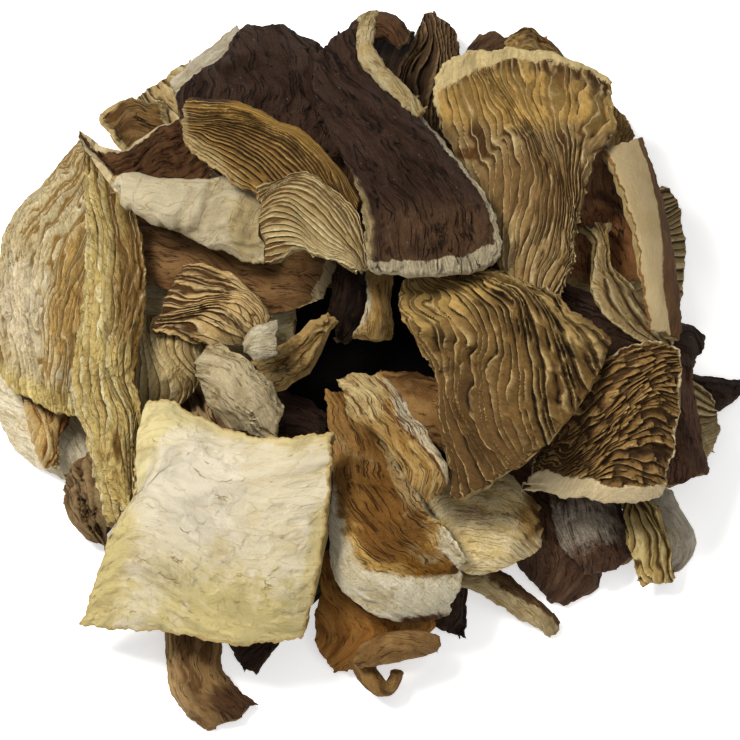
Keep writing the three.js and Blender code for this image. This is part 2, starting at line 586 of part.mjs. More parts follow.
// One closed mesh: a front grid, a coarser back grid and the wall between them.
function sheetMesh(cut) {
  const frontColumns = cut.ribs ? 2 * cut.ribs : cut.columns;
  const backColumns = Math.max(3, Math.round(frontColumns / 3));
  const points = [];
  const triangles = [];
  const grid = (columns, place) => {
    const start = points.length;
    for (let j = 0; j <= cut.rows; j += 1) {
      for (let i = 0; i <= columns; i += 1) {
        points.push(place(i, j / cut.rows));
      }
    }
    return (i, j) => start + j * (columns + 1) + i;
  };
  const front = grid(frontColumns, (i, t) => {
    const s = cut.ribs ? ribShare(cut, i, frontColumns, t) : i / frontColumns;
    const { point, normal } = framed(cut, s, t);
    const rib = cut.ribs && i > 0 && i < frontColumns ? ribHeight(cut, i, t) : 0;
    return point.addScaledVector(normal, halfThickness(cut, s, t) + rib);
  });
  const back = grid(backColumns, (i, t) => {
    const s = i / backColumns;
    const { point, normal } = framed(cut, s, t);
    return point.addScaledVector(normal, -halfThickness(cut, s, t));
  });
  const quad = (a, b, c, d) => triangles.push([a, b, c], [a, c, d]);
  for (let j = 0; j < cut.rows; j += 1) {
    for (let i = 0; i < frontColumns; i += 1) {
      quad(front(i, j), front(i + 1, j), front(i + 1, j + 1), front(i, j + 1));
    }
    for (let i = 0; i < backColumns; i += 1) {
      quad(back(i, j), back(i, j + 1), back(i + 1, j + 1), back(i + 1, j));
    }
    quad(front(0, j), front(0, j + 1), back(0, j + 1), back(0, j));
    const [m, n] = [frontColumns, backColumns];
    quad(front(m, j), back(n, j), back(n, j + 1), front(m, j + 1));
  }
  // The end walls take in one front or one back point at a time, whichever comes first.
  for (const j of [0, cut.rows]) {
    let i = 0;
    let k = 0;
    while (i < frontColumns || k < backColumns) {
      const frontIsNext = (i + 1) * backColumns <= (k + 1) * frontColumns;
      const takeFront = k === backColumns || (i < frontColumns && frontIsNext);
      const third = takeFront ? front(i + 1, j) : back(k + 1, j);
      const triangle = [front(i, j), back(k, j), third];
      triangles.push(j === 0 ? triangle : triangle.reverse());
      if (takeFront) {
        i += 1;
      } else {
        k += 1;
      }
    }
  }
  return { points, triangles };
}

// The lowest and highest w of a mesh over each cell of the height map.
function coverOf({ points, triangles }) {
  const low = new Float64Array(mapCells * mapCells).fill(Infinity);
  const high = new Float64Array(mapCells * mapCells).fill(-Infinity);
  const toCell = (distance) => (distance + mapHalf) / cellSize - 0.5;
  for (const [ia, ib, ic] of triangles) {
    const [a, b, c] = [points[ia], points[ib], points[ic]];
    const area = (b.x - a.x) * (c.y - a.y) - (c.x - a.x) * (b.y - a.y);
    if (Math.abs(area) < 1e-9) continue;
    const i0 = Math.ceil(toCell(Math.min(a.x, b.x, c.x)));
    const i1 = Math.floor(toCell(Math.max(a.x, b.x, c.x)));
    const j0 = Math.ceil(toCell(Math.min(a.y, b.y, c.y)));
    const j1 = Math.floor(toCell(Math.max(a.y, b.y, c.y)));
    for (let j = j0; j <= j1; j += 1) {
      for (let i = i0; i <= i1; i += 1) {
        const x = (i + 0.5) * cellSize - mapHalf;
        const y = (j + 0.5) * cellSize - mapHalf;
        const fb = ((x - a.x) * (c.y - a.y) - (c.x - a.x) * (y - a.y)) / area;
        const fc = ((b.x - a.x) * (y - a.y) - (x - a.x) * (b.y - a.y)) / area;
        if (fb < 0 || fc < 0 || fb + fc > 1) continue;
        const w = a.z + fb * (b.z - a.z) + fc * (c.z - a.z);
        const cell = j * mapCells + i;
        low[cell] = Math.min(low[cell], w);
        high[cell] = Math.max(high[cell], w);
      }
    }
  }
  return { low, high };
}

// Runs a window of the given reach over rows, then columns, and keeps what gather makes of it.
function windowed(map, reach, gather) {
  let from = map;
  for (const [stepIn, stepOver] of [[1, mapCells], [mapCells, 1]]) {
    const to = new Float64Array(map.length);
    for (let line = 0; line < mapCells; line += 1) {
      for (let i = 0; i < mapCells; i += 1) {
        const values = [];
        for (let k = Math.max(0, i - reach); k <= Math.min(mapCells - 1, i + reach); k += 1) {
          values.push(from[line * stepOver + k * stepIn]);
        }
        to[line * stepOver + i * stepIn] = gather(values);
      }
    }
    from = to;
  }
  return from;
}

const highest = (values) => values.reduce((best, value) => (value > best ? value : best), -Infinity);

function average(values) {
  let sum = 0;
  let count = 0;
  for (const value of values) {
    if (value > -Infinity) {
      sum += value;
      count += 1;
    }
  }
  return count ? sum / count : -Infinity;
}

// Lets a mesh down on the heap: how far each point has to rise along w, smoothed over the
// sheet's own reach so that it bends gently, and never less than what keeps it clear.
function layDown(cut, mesh, heap) {
  const cover = coverOf(mesh);
  const need = cover.low.map((low, cell) => (low < Infinity ? heap[cell] - low : -Infinity));
  const reach = cut.reach;
  const soft = windowed(windowed(windowed(need, 2 * reach, highest), reach, average), reach, average);
  const rigid = highest(need);
  const liftAt = (x, y) => {
    const i = (x + mapHalf) / cellSize - 0.5;
    const j = (y + mapHalf) / cellSize - 0.5;
    const [i0, j0] = [Math.floor(i), Math.floor(j)];
    const [fi, fj] = [i - i0, j - j0];
    const at = (di, dj) => {
      const value = soft[(j0 + dj) * mapCells + i0 + di];
      return value > -Infinity ? value : rigid;
    };
    const lower = at(0, 0) * (1 - fi) + at(1, 0) * fi;
    const upper = at(0, 1) * (1 - fi) + at(1, 1) * fi;
    return cut.stiff * rigid + (1 - cut.stiff) * (lower * (1 - fj) + upper * fj);
  };
  const lean = Math.tan(leanAngle);
  for (const point of mesh.points) {
    point.z = Math.max(point.z + liftAt(point.x, point.y) - cut.sink, -point.y * lean);
  }
}

// The heap's top over each cell, with the reach of one cell for steep places.
function pileUp(heap, mesh) {
  const { high } = coverOf(mesh);
  const wide = windowed(high, 1, highest);
  wide.forEach((value, cell) => {
    heap[cell] = Math.max(heap[cell], value + clearGap);
  });
}

function emptyTable() {
  const heap = new Float64Array(mapCells * mapCells);
  for (let j = 0; j < mapCells; j += 1) {
    const u = (j + 0.5) * cellSize - mapHalf;
    heap.fill(-pressDepth - u * Math.tan(leanAngle), j * mapCells, (j + 1) * mapCells);
  }
  return heap;
}

function geometryOf({ points, triangles }, turned) {
  const positions = [];
  for (const triangle of triangles) {
    for (const index of triangle) {
      const point = points[index].clone().applyMatrix4(turned);
      positions.push(point.x, point.y, point.z);
    }
  }
  const geometry = new THREE.BufferGeometry();
  geometry.setAttribute('position', new THREE.Float32BufferAttribute(positions, 3));
  geometry.computeVertexNormals();
  return geometry;
}

const cluster = new THREE.Group();
cluster.name = 'oyster_mushroom_cluster';

const heap = emptyTable();
// The origin comes under the middle of the cluster, on the table.
const turned = new THREE.Matrix4().makeRotationX(leanAngle).setPosition(-middleX, -middleY, 0);
cuts.forEach((given, index) => {
  const cut = { ...usual, ...finishes[given.finish], ...given };
  cut.columnsOfRails = cut.rails[0].map((_, column) => cut.rails.map((row) => row[column]));
  const [first, final] = [cut.rails[0], cut.rails[cut.rails.length - 1]];
  const runX = (final[0] + final[3] - first[0] - first[3]) / 2;
  const runU = (final[1] + final[4] - first[1] - first[4]) / 2;
  cut.long = Math.hypot(runX, runU);
  cut.seed = seedStep * index;
  cut.reach = Math.max(2, Math.round(cut.long / 8));
  const mesh = sheetMesh(cut);
  layDown(cut, mesh, heap);
  pileUp(heap, mesh);
  const material = new THREE.MeshStandardMaterial({
    color: colours[cut.finish],
    roughness: 0.85,
    metalness: 0,
    side: THREE.FrontSide,
  });
  const node = new THREE.Mesh(geometryOf(mesh, turned), material);
  node.name = cut.name;
  cluster.add(node);
});


export default cluster;
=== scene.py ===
# A cluster of dried oyster mushroom cuts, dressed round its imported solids. Blender 4.5, metres.
#
# Each solid is a thin curled sheet: a front and a back grid with a wall between them. The grids
# are read from the frame, a finer sheet is drawn through them, and Geometry Nodes raise its gills,
# fibres and wrinkles. A cut has three finishes: its front face, its back face and its torn rim.

import math

import bpy
import numpy as np
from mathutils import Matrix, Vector


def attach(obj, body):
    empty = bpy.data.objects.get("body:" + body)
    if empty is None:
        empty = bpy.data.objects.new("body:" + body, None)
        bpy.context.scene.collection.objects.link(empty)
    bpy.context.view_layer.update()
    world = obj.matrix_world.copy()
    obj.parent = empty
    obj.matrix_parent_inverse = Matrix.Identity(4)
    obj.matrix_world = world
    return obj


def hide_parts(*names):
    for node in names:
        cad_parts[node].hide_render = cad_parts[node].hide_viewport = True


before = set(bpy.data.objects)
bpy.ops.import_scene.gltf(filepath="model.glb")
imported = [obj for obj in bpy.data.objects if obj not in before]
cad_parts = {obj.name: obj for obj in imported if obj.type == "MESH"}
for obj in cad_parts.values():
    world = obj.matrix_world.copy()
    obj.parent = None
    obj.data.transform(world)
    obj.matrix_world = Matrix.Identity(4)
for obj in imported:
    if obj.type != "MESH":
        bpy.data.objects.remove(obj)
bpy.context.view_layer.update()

mm = 0.001
fullTurn = 2 * math.pi


def tint(red, green, blue):  # a screen colour of 0 to 255 as a linear one
    shares = [value / 255 for value in (red, green, blue)]
    return (*[v / 12.92 if v <= 0.04045 else ((v + 0.055) / 1.055) ** 2.4 for v in shares], 1)


def sumOf(operation, otherFirst=False):
    def worked(self, other):
        first, second = (other, self) if otherFirst else (self, other)
        return self.board.math(operation, first, second)

    return worked


# A number that a node puts out. Each sum written with it places the node that works the sum out.
class Number:
    def __init__(self, board, socket):
        self.board = board
        self.socket = socket

    __add__, __radd__ = sumOf("ADD"), sumOf("ADD", True)
    __sub__, __rsub__ = sumOf("SUBTRACT"), sumOf("SUBTRACT", True)
    __mul__, __rmul__ = sumOf("MULTIPLY"), sumOf("MULTIPLY", True)
    __truediv__, __rtruediv__ = sumOf("DIVIDE"), sumOf("DIVIDE", True)


# Places and wires the nodes of one tree.
class Board:
    def __init__(self, tree):
        self.tree = tree

    def plug(self, socket, value):
        source = value.socket if isinstance(value, Number) else value
        if isinstance(source, bpy.types.NodeSocket):
            self.tree.links.new(source, socket)
        else:
            socket.default_value = source

    def node(self, kind, settings=None, inputs=None):
        placed = self.tree.nodes.new(kind)
        for key, value in (settings or {}).items():
            setattr(placed, key, value)
        for key, value in (inputs or {}).items():
            self.plug(placed.inputs[key], value)
        return placed

    def number(self, kind, settings=None, inputs=None):
        return Number(self, self.node(kind, settings, inputs).outputs[0])

    def math(self, operation, *values):
        return self.number("ShaderNodeMath", {"operation": operation}, dict(enumerate(values)))

    def split(self, vector):
        parts = self.node("ShaderNodeSeparateXYZ", None, {0: vector}).outputs
        return [Number(self, part) for part in parts]

    def vector(self, x, y, z=0):
        return self.node("ShaderNodeCombineXYZ", None, {0: x, 1: y, 2: z}).outputs[0]

    def vectors(self, operation, first, second):
        return self.node("ShaderNodeVectorMath", {"operation": operation}, {0: first, 1: second}).outputs[0]

    def scaled(self, vector, factor):
        settings = {"operation": "SCALE"}
        return self.node("ShaderNodeVectorMath", settings, {0: vector, "Scale": factor}).outputs[0]

    def turned(self, turn, alongSheet, acrossSheet):  # a place read along the sheet, or across it at 1
        inputs = {0: turn, 4: alongSheet, 5: acrossSheet}
        return self.node("ShaderNodeMix", {"data_type": "VECTOR"}, inputs).outputs[1]

    def blend(self, factor, first, second):
        return self.number("ShaderNodeMix", None, {0: factor, 2: first, 3: second})

    def tinted(self, factor, first, second, mode="MIX"):
        settings = {"data_type": "RGBA", "blend_type": mode}
        return self.node("ShaderNodeMix", settings, {0: factor, 6: first, 7: second}).outputs[2]

    def dimmed(self, colour, red, green, blue):  # the colour times a share of each part of it
        return self.tinted(1, colour, self.vector(red, green, blue), "MULTIPLY")

    def step(self, value, low, high, first=0, last=1):  # smooth, from first at low to last at high
        settings = {"interpolation_type": "SMOOTHSTEP"}
        inputs = {"Value": value, "From Min": low, "From Max": high, "To Min": first, "To Max": last}
        return self.number("ShaderNodeMapRange", settings, inputs)

    def noiseNode(self, vector, scale=1, detail=2, rough=0.5):
        inputs = {"Vector": vector, "Scale": scale, "Detail": detail, "Roughness": rough}
        return self.node("ShaderNodeTexNoise", None, inputs)

    def noise(self, vector, **sizes):
        return Number(self, self.noiseNode(vector, **sizes).outputs[0])

    def warped(self, vector, middle, far, **sizes):  # moved about by coloured noise less its middle
        push = self.vectors("SUBTRACT", self.noiseNode(vector, **sizes).outputs[1], (middle,) * 3)
        return self.vectors("ADD", vector, self.scaled(push, far))

    def drift(self, flow, across, down, **sizes):  # noise with its own scale each way
        return self.noise(self.vectors("MULTIPLY", flow, (across, down, 1)), **sizes)


# The corners and triangles of a sheet's solid as a net: its front grid, its back grid, the side
# walls between them, and end walls that take in one front or one back corner at a time.
def netOf(columns, backColumns, rows):
    front = np.arange((rows + 1) * (columns + 1)).reshape(rows + 1, -1)
    back = front.size + np.arange((rows + 1) * (backColumns + 1)).reshape(rows + 1, -1)
    quads = []
    for j in range(rows):
        for i in range(columns):
            quads.append((front[j, i], front[j, i + 1], front[j + 1, i + 1], front[j + 1, i]))
        for i in range(backColumns):
            quads.append((back[j, i], back[j + 1, i], back[j + 1, i + 1], back[j, i + 1]))
        quads.append((front[j, 0], front[j + 1, 0], back[j + 1, 0], back[j, 0]))
        quads.append((front[j, -1], back[j, -1], back[j + 1, -1], front[j + 1, -1]))
    triangles = [triangle for a, b, c, d in quads for triangle in ((a, b, c), (a, c, d))]
    for j in (0, rows):
        i = k = 0
        while i < columns or k < backColumns:
            frontIsNext = (i + 1) * backColumns <= (k + 1) * columns
            takeFront = k == backColumns or (i < columns and frontIsNext)
            third = front[j, i + 1] if takeFront else back[j, k + 1]
            triangle = (front[j, i], back[j, k], third)
            triangles.append(triangle if j == 0 else triangle[::-1])
            i, k = (i + 1, k) if takeFront else (i, k + 1)
    return triangles, front, back


def acrossEdges(triangles):  # the third corner of the triangle to the left of each directed edge
    return {(t[k], t[k - 2]): t[k - 1] for t in triangles for k in range(3)}


# Walks over a net and a mesh at once from one edge of each, and returns which of the mesh's points
# each corner of the net is, or nothing where they don't agree.
def laidOver(net, mesh, netEdge, meshEdge):
    found = dict(zip(netEdge, meshEdge))
    taken, walked, ahead = set(meshEdge), set(), [(netEdge, meshEdge)]
    while ahead:
        (a, b), (p, q) = ahead.pop()
        if (a, b) in walked:
            continue
        c, r = net[a, b], mesh.get((p, q))
        if r is None or found.get(c, r) != r or (c not in found and r in taken):
            return None
        found[c] = r
        taken.add(r)
        walked.update([(a, b), (b, c), (c, a)])
        ahead += [((b, a), (q, p)), ((c, b), (r, q)), ((a, c), (p, r))]
    return found


fewestColumns, mostColumns = 4, 40  # across the front of any solid
fewestRows = fewestBackColumns = 3
weldDigits = 6  # corners that are the same in so many decimals are one


# The front and back grid of a solid, in millimetres. Its mesh keeps no order, but only one way of
# laying the net over it fits. The back of a solid has about a third of its front's columns.
def solidGrids(name):
    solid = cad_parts[name].data
    loose = np.array([corner.co for corner in solid.vertices])
    points, weld = np.unique(np.round(loose, weldDigits), axis=0, return_inverse=True)
    solid.calc_loop_triangles()
    mesh = acrossEdges([tuple(weld.ravel()[list(t.vertices)]) for t in solid.loop_triangles])
    for columns in range(fewestColumns, mostColumns + 1):
        backColumns = max(fewestBackColumns, math.floor(columns / 3 + 0.5))
        rows = len(points) // (columns + backColumns + 2) - 1
        if rows < fewestRows or (rows + 1) * (columns + backColumns + 2) != len(points):
            continue
        triangles, front, back = netOf(columns, backColumns, rows)
        net = acrossEdges(triangles)
        for meshEdge in mesh:
            found = laidOver(net, mesh, triangles[0][:2], meshEdge)
            if found:
                order = [found[corner] for corner in range(len(points))]
                return points[order][front] / mm, points[order][back] / mm
    raise ValueError(f"{name} is no sheet")


def through(values, share):  # Catmull-Rom over the first axis
    last = len(values) - 1
    start = np.minimum(last - 1, np.floor(share * last).astype(int))
    f = (share * last - start).reshape(-1, *[1] * (values.ndim - 1))
    longer = np.concatenate([[2 * values[0] - values[1]], values, [2 * values[-1] - values[-2]]])
    a, b, c, d = (longer[start + k] for k in range(4))
    return b + 0.5 * f * (c - a + f * (2 * a - 5 * b + 4 * c - d + f * (3 * (b - c) + d - a)))


def throughBoth(grid, s, t):  # at the shares s across and t down the grid
    return through(through(grid, t).swapaxes(0, 1), s).swapaxes(0, 1)


def unit(vectors):
    return vectors / np.linalg.norm(vectors, axis=-1, keepdims=True)


def outwardOf(front):
    return unit(np.cross(np.gradient(front, axis=1), np.gradient(front, axis=0)))


def reachOf(points, axis):  # how far each point of a grid is along its line
    steps = np.linalg.norm(np.diff(points, axis=axis), axis=-1)
    return np.insert(np.cumsum(steps, axis=axis), 0, 0, axis=axis)


crowding = 0.6  # how far the lines of a sheet move towards its ends
tearWaves = ((0.36, 7, 0), (0.27, 2.9, 2.2), (0.17, 1.3, 0.7))  # height, millimetres long, phase
edgeStep = 2.3  # sets the tears of a sheet's four edges apart


def crowded(count):  # shares from 0 to 1 that lie closer together towards both ends
    even = np.linspace(0, 1, count + 1)
    return even - crowding * np.sin(fullTurn * even) / fullTurn


def tearWave(distance, seed):
    q = fullTurn * distance + seed
    return sum(height * np.sin(q / long + phase) for height, long, phase in tearWaves)


# Edges are numbered 0 left, 1 right, 2 first row and 3 last row. Lengths are in millimetres.
sheetUsual = {
    "pitch": 0.36,  # between the fine sheet's rows
    "gills": 0, "perGill": 8,  # gills across the front, and columns for each
    "bow": 0,  # share of the sheet's width that its gills bow towards the left edge
    "fray": 0.6, "frayReach": 1.8,  # how far the edges' small tears go in and out, and fade
    "curl": (0, 0, 0, 0), "curlWidth": 4,  # how far each edge turns up
    "bulges": (), "bulgeFade": 5,  # each an edge, its start and end along it, its reach and its skew
    "round": (0, 0, 0, 0),  # radius of the corners: first left, first right, last left, last right
    "margins": ((0, 0),) * 4,  # bare strips along the edges, wide at each strip's start and end
    "rimReach": 0.7, "rimDrop": 0.5,  # how far in and how far down the front rounds off
}
backEvery = 4  # the back keeps every fourth row and column of the front, or a column for each gill
fewestBackSteps = 3
layerStep = 7  # sets the noise of the cuts apart
tiny = 1e-9  # keeps a division from going wrong
sides = {"Back": 0, "Rim": 1, "Front": 2}


# How far each point of the front moves for the tears, bulges, rounded corners and curled edges.
# The points lie at the shares s across and t down the sheet.
def edgeShift(front, over, edges, s, t, look, seed):
    along, normal = unit(np.gradient(front, axis=0)), outwardOf(front)
    across, down = edges[0], edges[2]
    tears = ((over, -1, down), (over, 1, down), (along, -1, across), (along, 1, across))
    shift = np.zeros_like(front)
    for k, (direction, sign, distance) in enumerate(tears):
        near = look["fray"] * sign * np.exp(-((edges[k] / look["frayReach"]) ** 2))
        shift += direction * (near * tearWave(distance, seed + edgeStep * k))[..., None]
    for k, begin, end, reach, skew in look["bulges"]:
        place = t[:, None] if k < 2 else s[None]
        shape = np.sin(np.pi * np.clip((place - begin) / (end - begin), 0, 1) ** skew)
        shape = shape * np.clip(1 - edges[k] / (look["bulgeFade"] * abs(reach)), 0, 1)
        if k < 2:
            outward = unit(front[:, -k] - front[:, (len(s) - 1) // 2])[:, None]
        else:
            outward = unit(front[2 - k] - front[(len(t) - 1) // 2])[None]
        shift += outward * (reach * shape)[..., None]
    for k, radius in enumerate(look["round"]):
        if radius:
            toSide = np.maximum(radius - edges[k % 2], 0)
            toEnd = np.maximum(radius - edges[2 + k // 2], 0)
            squeeze = 1 - np.maximum(toSide, toEnd) / np.maximum(np.hypot(toSide, toEnd), tiny)
            shift += over * (toSide * squeeze * (1 - 2 * (k % 2)))[..., None]
            shift += along * (toEnd * squeeze * (1 - 2 * (k // 2)))[..., None]
    for rise, away in zip(look["curl"], edges):
        shift += normal * (rise * np.clip(1 - away / look["curlWidth"], 0, 1) ** 2)[..., None]
    return shift


# The faces of a sheet, and the side of the cut that each is on. A wall's faces join the front's
# close points to the back's, and skip is how many columns of the front the back has one for.
def sheetFaces(rows, columns, skip):
    backRows, backColumns = rows // backEvery, columns // skip
    front = np.arange((rows + 1) * (columns + 1)).reshape(rows + 1, -1)
    back = front.size + np.arange((backRows + 1) * (backColumns + 1)).reshape(backRows + 1, -1)
    frontQuads = [front[:-1, :-1], front[:-1, 1:], front[1:, 1:], front[1:, :-1]]
    backQuads = [back[:-1, :-1], back[1:, :-1], back[1:, 1:], back[:-1, 1:]]
    faces = np.stack(frontQuads, -1).reshape(-1, 4).tolist()
    faceSides = [sides["Front"]] * len(faces)
    faces += np.stack(backQuads, -1).reshape(-1, 4).tolist()
    faceSides += [sides["Back"]] * (len(faces) - len(faceSides))
    walls = (
        (front[0], back[0], skip, False), (front[-1], back[-1], skip, True),
        (front[:, 0], back[:, 0], backEvery, True), (front[:, -1], back[:, -1], backEvery, False),
    )
    for fine, rare, every, turned in walls:
        for k in range(len(fine) - 1):
            face = [fine[k + 1], fine[k], rare[k // every]]
            if k % every == every - 1:
                face.append(rare[k // every + 1])
            faces.append([int(c) for c in (face[::-1] if turned else face)])
    faceSides += [sides["Rim"]] * (len(faces) - len(faceSides))
    return faces, faceSides


# A fine sheet through a solid's grids, with what its trees and materials need to know of it.
def sheetMesh(name, look, seed):
    look = sheetUsual | look
    solidFront, solidBack = solidGrids(name)
    if solidFront.shape[1] % 2:  # ridges and hollows take turns, so this leaves the face between them
        solidFront[:, 1:-1] = (solidFront[:, :-2] + 2 * solidFront[:, 1:-1] + solidFront[:, 2:]) / 4

    def fineSteps(reach):  # how many fine steps the longest line of the sheet is cut into
        return backEvery * max(fewestBackSteps, round(reach.max() / look["pitch"] / backEvery))

    gills = look["gills"]
    skip = look["perGill"] if gills else backEvery
    columns = gills * skip if gills else fineSteps(reachOf(solidBack, 1))
    rows = fineSteps(reachOf(solidBack, 0))
    s = np.arange(columns + 1) / columns if gills else crowded(columns)
    t = crowded(rows)
    front = throughBoth(solidFront, s, t)
    back = throughBoth(solidBack, s[::skip], t[::backEvery])

    over = unit(np.gradient(front, axis=1))
    across, down = reachOf(front, 1), reachOf(front, 0)
    edges = (across, across[:, -1:] - across, down, down[-1:] - down)
    shift = edgeShift(front, over, edges, s, t, look, seed)
    front = front + shift
    back = back + shift[::backEvery, ::skip]

    # the front rounds off towards the torn rim
    rim = np.minimum.reduce(edges)
    normal, under = outwardOf(front), -outwardOf(back)
    dropped = 1 - np.sqrt(1 - (1 - np.minimum(rim / look["rimReach"], 1)) ** 2)
    front = front - normal * (look["rimDrop"] * dropped)[..., None]

    left, right, first, last = look["margins"]
    strips = [np.linspace(*pair, rows + 1)[:, None] for pair in (left, right)]
    strips += [np.linspace(*pair, columns + 1) for pair in (first, last)]
    inside = np.minimum.reduce([away - strip for away, strip in zip(edges, strips)])
    bowPeak = 16  # makes the bow whole in the middle of the sheet
    gillLine = gills * (s + look["bow"] * bowPeak * s * (1 - s) * (t * (1 - t))[:, None])
    pick = np.ix_(np.arange(0, rows + 1, backEvery), np.arange(0, columns + 1, skip))

    def both(values):  # a value for each front point, then for each back point
        width = 1 if values.ndim == 2 else 3
        return np.concatenate([values.reshape(-1, width), values[pick].reshape(-1, width)])

    points = np.concatenate([front.reshape(-1, 3), back.reshape(-1, 3)])
    points[:, 2] = np.maximum(points[:, 2], 0)
    faces, faceSides = sheetFaces(rows, columns, skip)
    mesh = bpy.data.meshes.new(name + "_cut")
    mesh.from_pydata((points * mm).tolist(), [], faces)
    flat = np.ones_like(across)
    fields = {
        "outward": np.concatenate([normal.reshape(-1, 3), under.reshape(-1, 3)]),
        "over": both(over),
        "flow": both(np.stack([across, down, layerStep * seed * flat], axis=-1)),
        "share": both(np.stack([s * flat, t[:, None] * flat, rim], axis=-1)),
        "facing": np.repeat([1, -1], [flat.size, flat[pick].size])[:, None],
        "gillLine": both(gillLine * flat),
        "inside": both(inside),
        "apart": both(across[:, -1:] / max(gills, 1) * flat),
    }
    for label, values in fields.items():
        kind, part = ("FLOAT_VECTOR", "vector") if values.shape[1] == 3 else ("FLOAT", "value")
        layer = mesh.attributes.new(label, kind, "POINT")
        layer.data.foreach_set(part, values.astype(np.float32).ravel())
    layer = mesh.attributes.new("side", "INT", "FACE")
    layer.data.foreach_set("value", faceSides)
    mesh.polygons.foreach_set("use_smooth", [True] * len(mesh.polygons))
    return mesh


# A tree with one output. Each input is a size with its usual value, or else a kind of socket.
def treeOf(name, kind, inputs, outputName, outputKind):
    tree = bpy.data.node_groups.new(name, kind)
    for label, usual in inputs.items():
        isKind = isinstance(usual, str)
        socketType = "NodeSocket" + (usual if isKind else "Float")
        socket = tree.interface.new_socket(label, in_out="INPUT", socket_type=socketType)
        if not isKind:
            socket.default_value = usual
    tree.interface.new_socket(outputName, in_out="OUTPUT", socket_type="NodeSocket" + outputKind)
    board = Board(tree)
    sockets = board.node("NodeGroupInput").outputs
    given = {
        label: sockets[label] if isinstance(usual, str) else Number(board, sockets[label])
        for label, usual in inputs.items()
    }
    return board, given, board.node("NodeGroupOutput").inputs[0]


sideSockets = {label: "Material" for label in sides}


def fieldNode(board, name, kind):  # what the sheet's mesh holds at each point
    return board.node("GeometryNodeInputNamedAttribute", {"data_type": kind}, {"Name": name}).outputs[0]


def numberField(board, name):
    return Number(board, fieldNode(board, name, "FLOAT"))


def vectorField(board, name):
    return fieldNode(board, name, "FLOAT_VECTOR")


def seededFlow(board, given):  # the place on the sheet, in a layer of the noise of its own
    return board.vectors("ADD", vectorField(board, "flow"), board.vector(0, 0, given["Seed"]))


# Moves the points, keeps what the materials need to know of them, and gives each side its own.
def finished(board, given, offset, crispAngle, kept, result):
    moved = board.node("GeometryNodeSetPosition", None, {"Geometry": given["Sheet"], "Offset": offset})
    turn = board.node("GeometryNodeInputMeshEdgeAngle").outputs[0]
    inputs = {0: moved.outputs[0], 1: board.math("GREATER_THAN", turn, crispAngle), 2: False}
    geometry = board.node("GeometryNodeSetShadeSmooth", {"domain": "EDGE"}, inputs).outputs[0]
    for name, value in kept.items():
        settings = {"data_type": "FLOAT", "domain": "POINT"}
        inputs = {"Geometry": geometry, "Name": name, "Value": value}
        geometry = board.node("GeometryNodeStoreNamedAttribute", settings, inputs).outputs[0]
    geometry = board.node("GeometryNodeRealizeInstances", None, {0: geometry}).outputs[0]
    for label, number in sides.items():
        same = {"data_type": "INT", "operation": "EQUAL"}
        chosen = board.node("FunctionNodeCompare", same, {2: fieldNode(board, "side", "INT"), 3: number})
        inputs = {"Geometry": geometry, "Selection": chosen.outputs[0], "Material": given[label]}
        geometry = board.node("GeometryNodeSetMaterial", None, inputs).outputs[0]
    board.plug(result, geometry)


def curve(board, value, points):
    bend = board.node("ShaderNodeFloatCurve", None, {"Value": value})
    line = bend.mapping.curves[0]
    while len(line.points) < len(points):
        line.points.new(0.5, 0.5)
    for point, place in zip(line.points, points):
        point.location = place
    bend.mapping.update()
    return Number(board, bend.outputs[0])


# How high a gill stands and how far it leans aside, from one gill's foot to the next one's.
bladeProfile = (
    (0, 0), (0.1, 0.16), (0.35, 0.46), (0.6, 0.76), (0.8, 1), (0.87, 0.92), (0.94, 0.25), (1, 0),
)
bladeAside = ((0, 0.04), (0.3, 0.36), (0.5, 0.6), (0.7, 0.9), (0.8, 1), (0.9, 1), (1, 1.04))


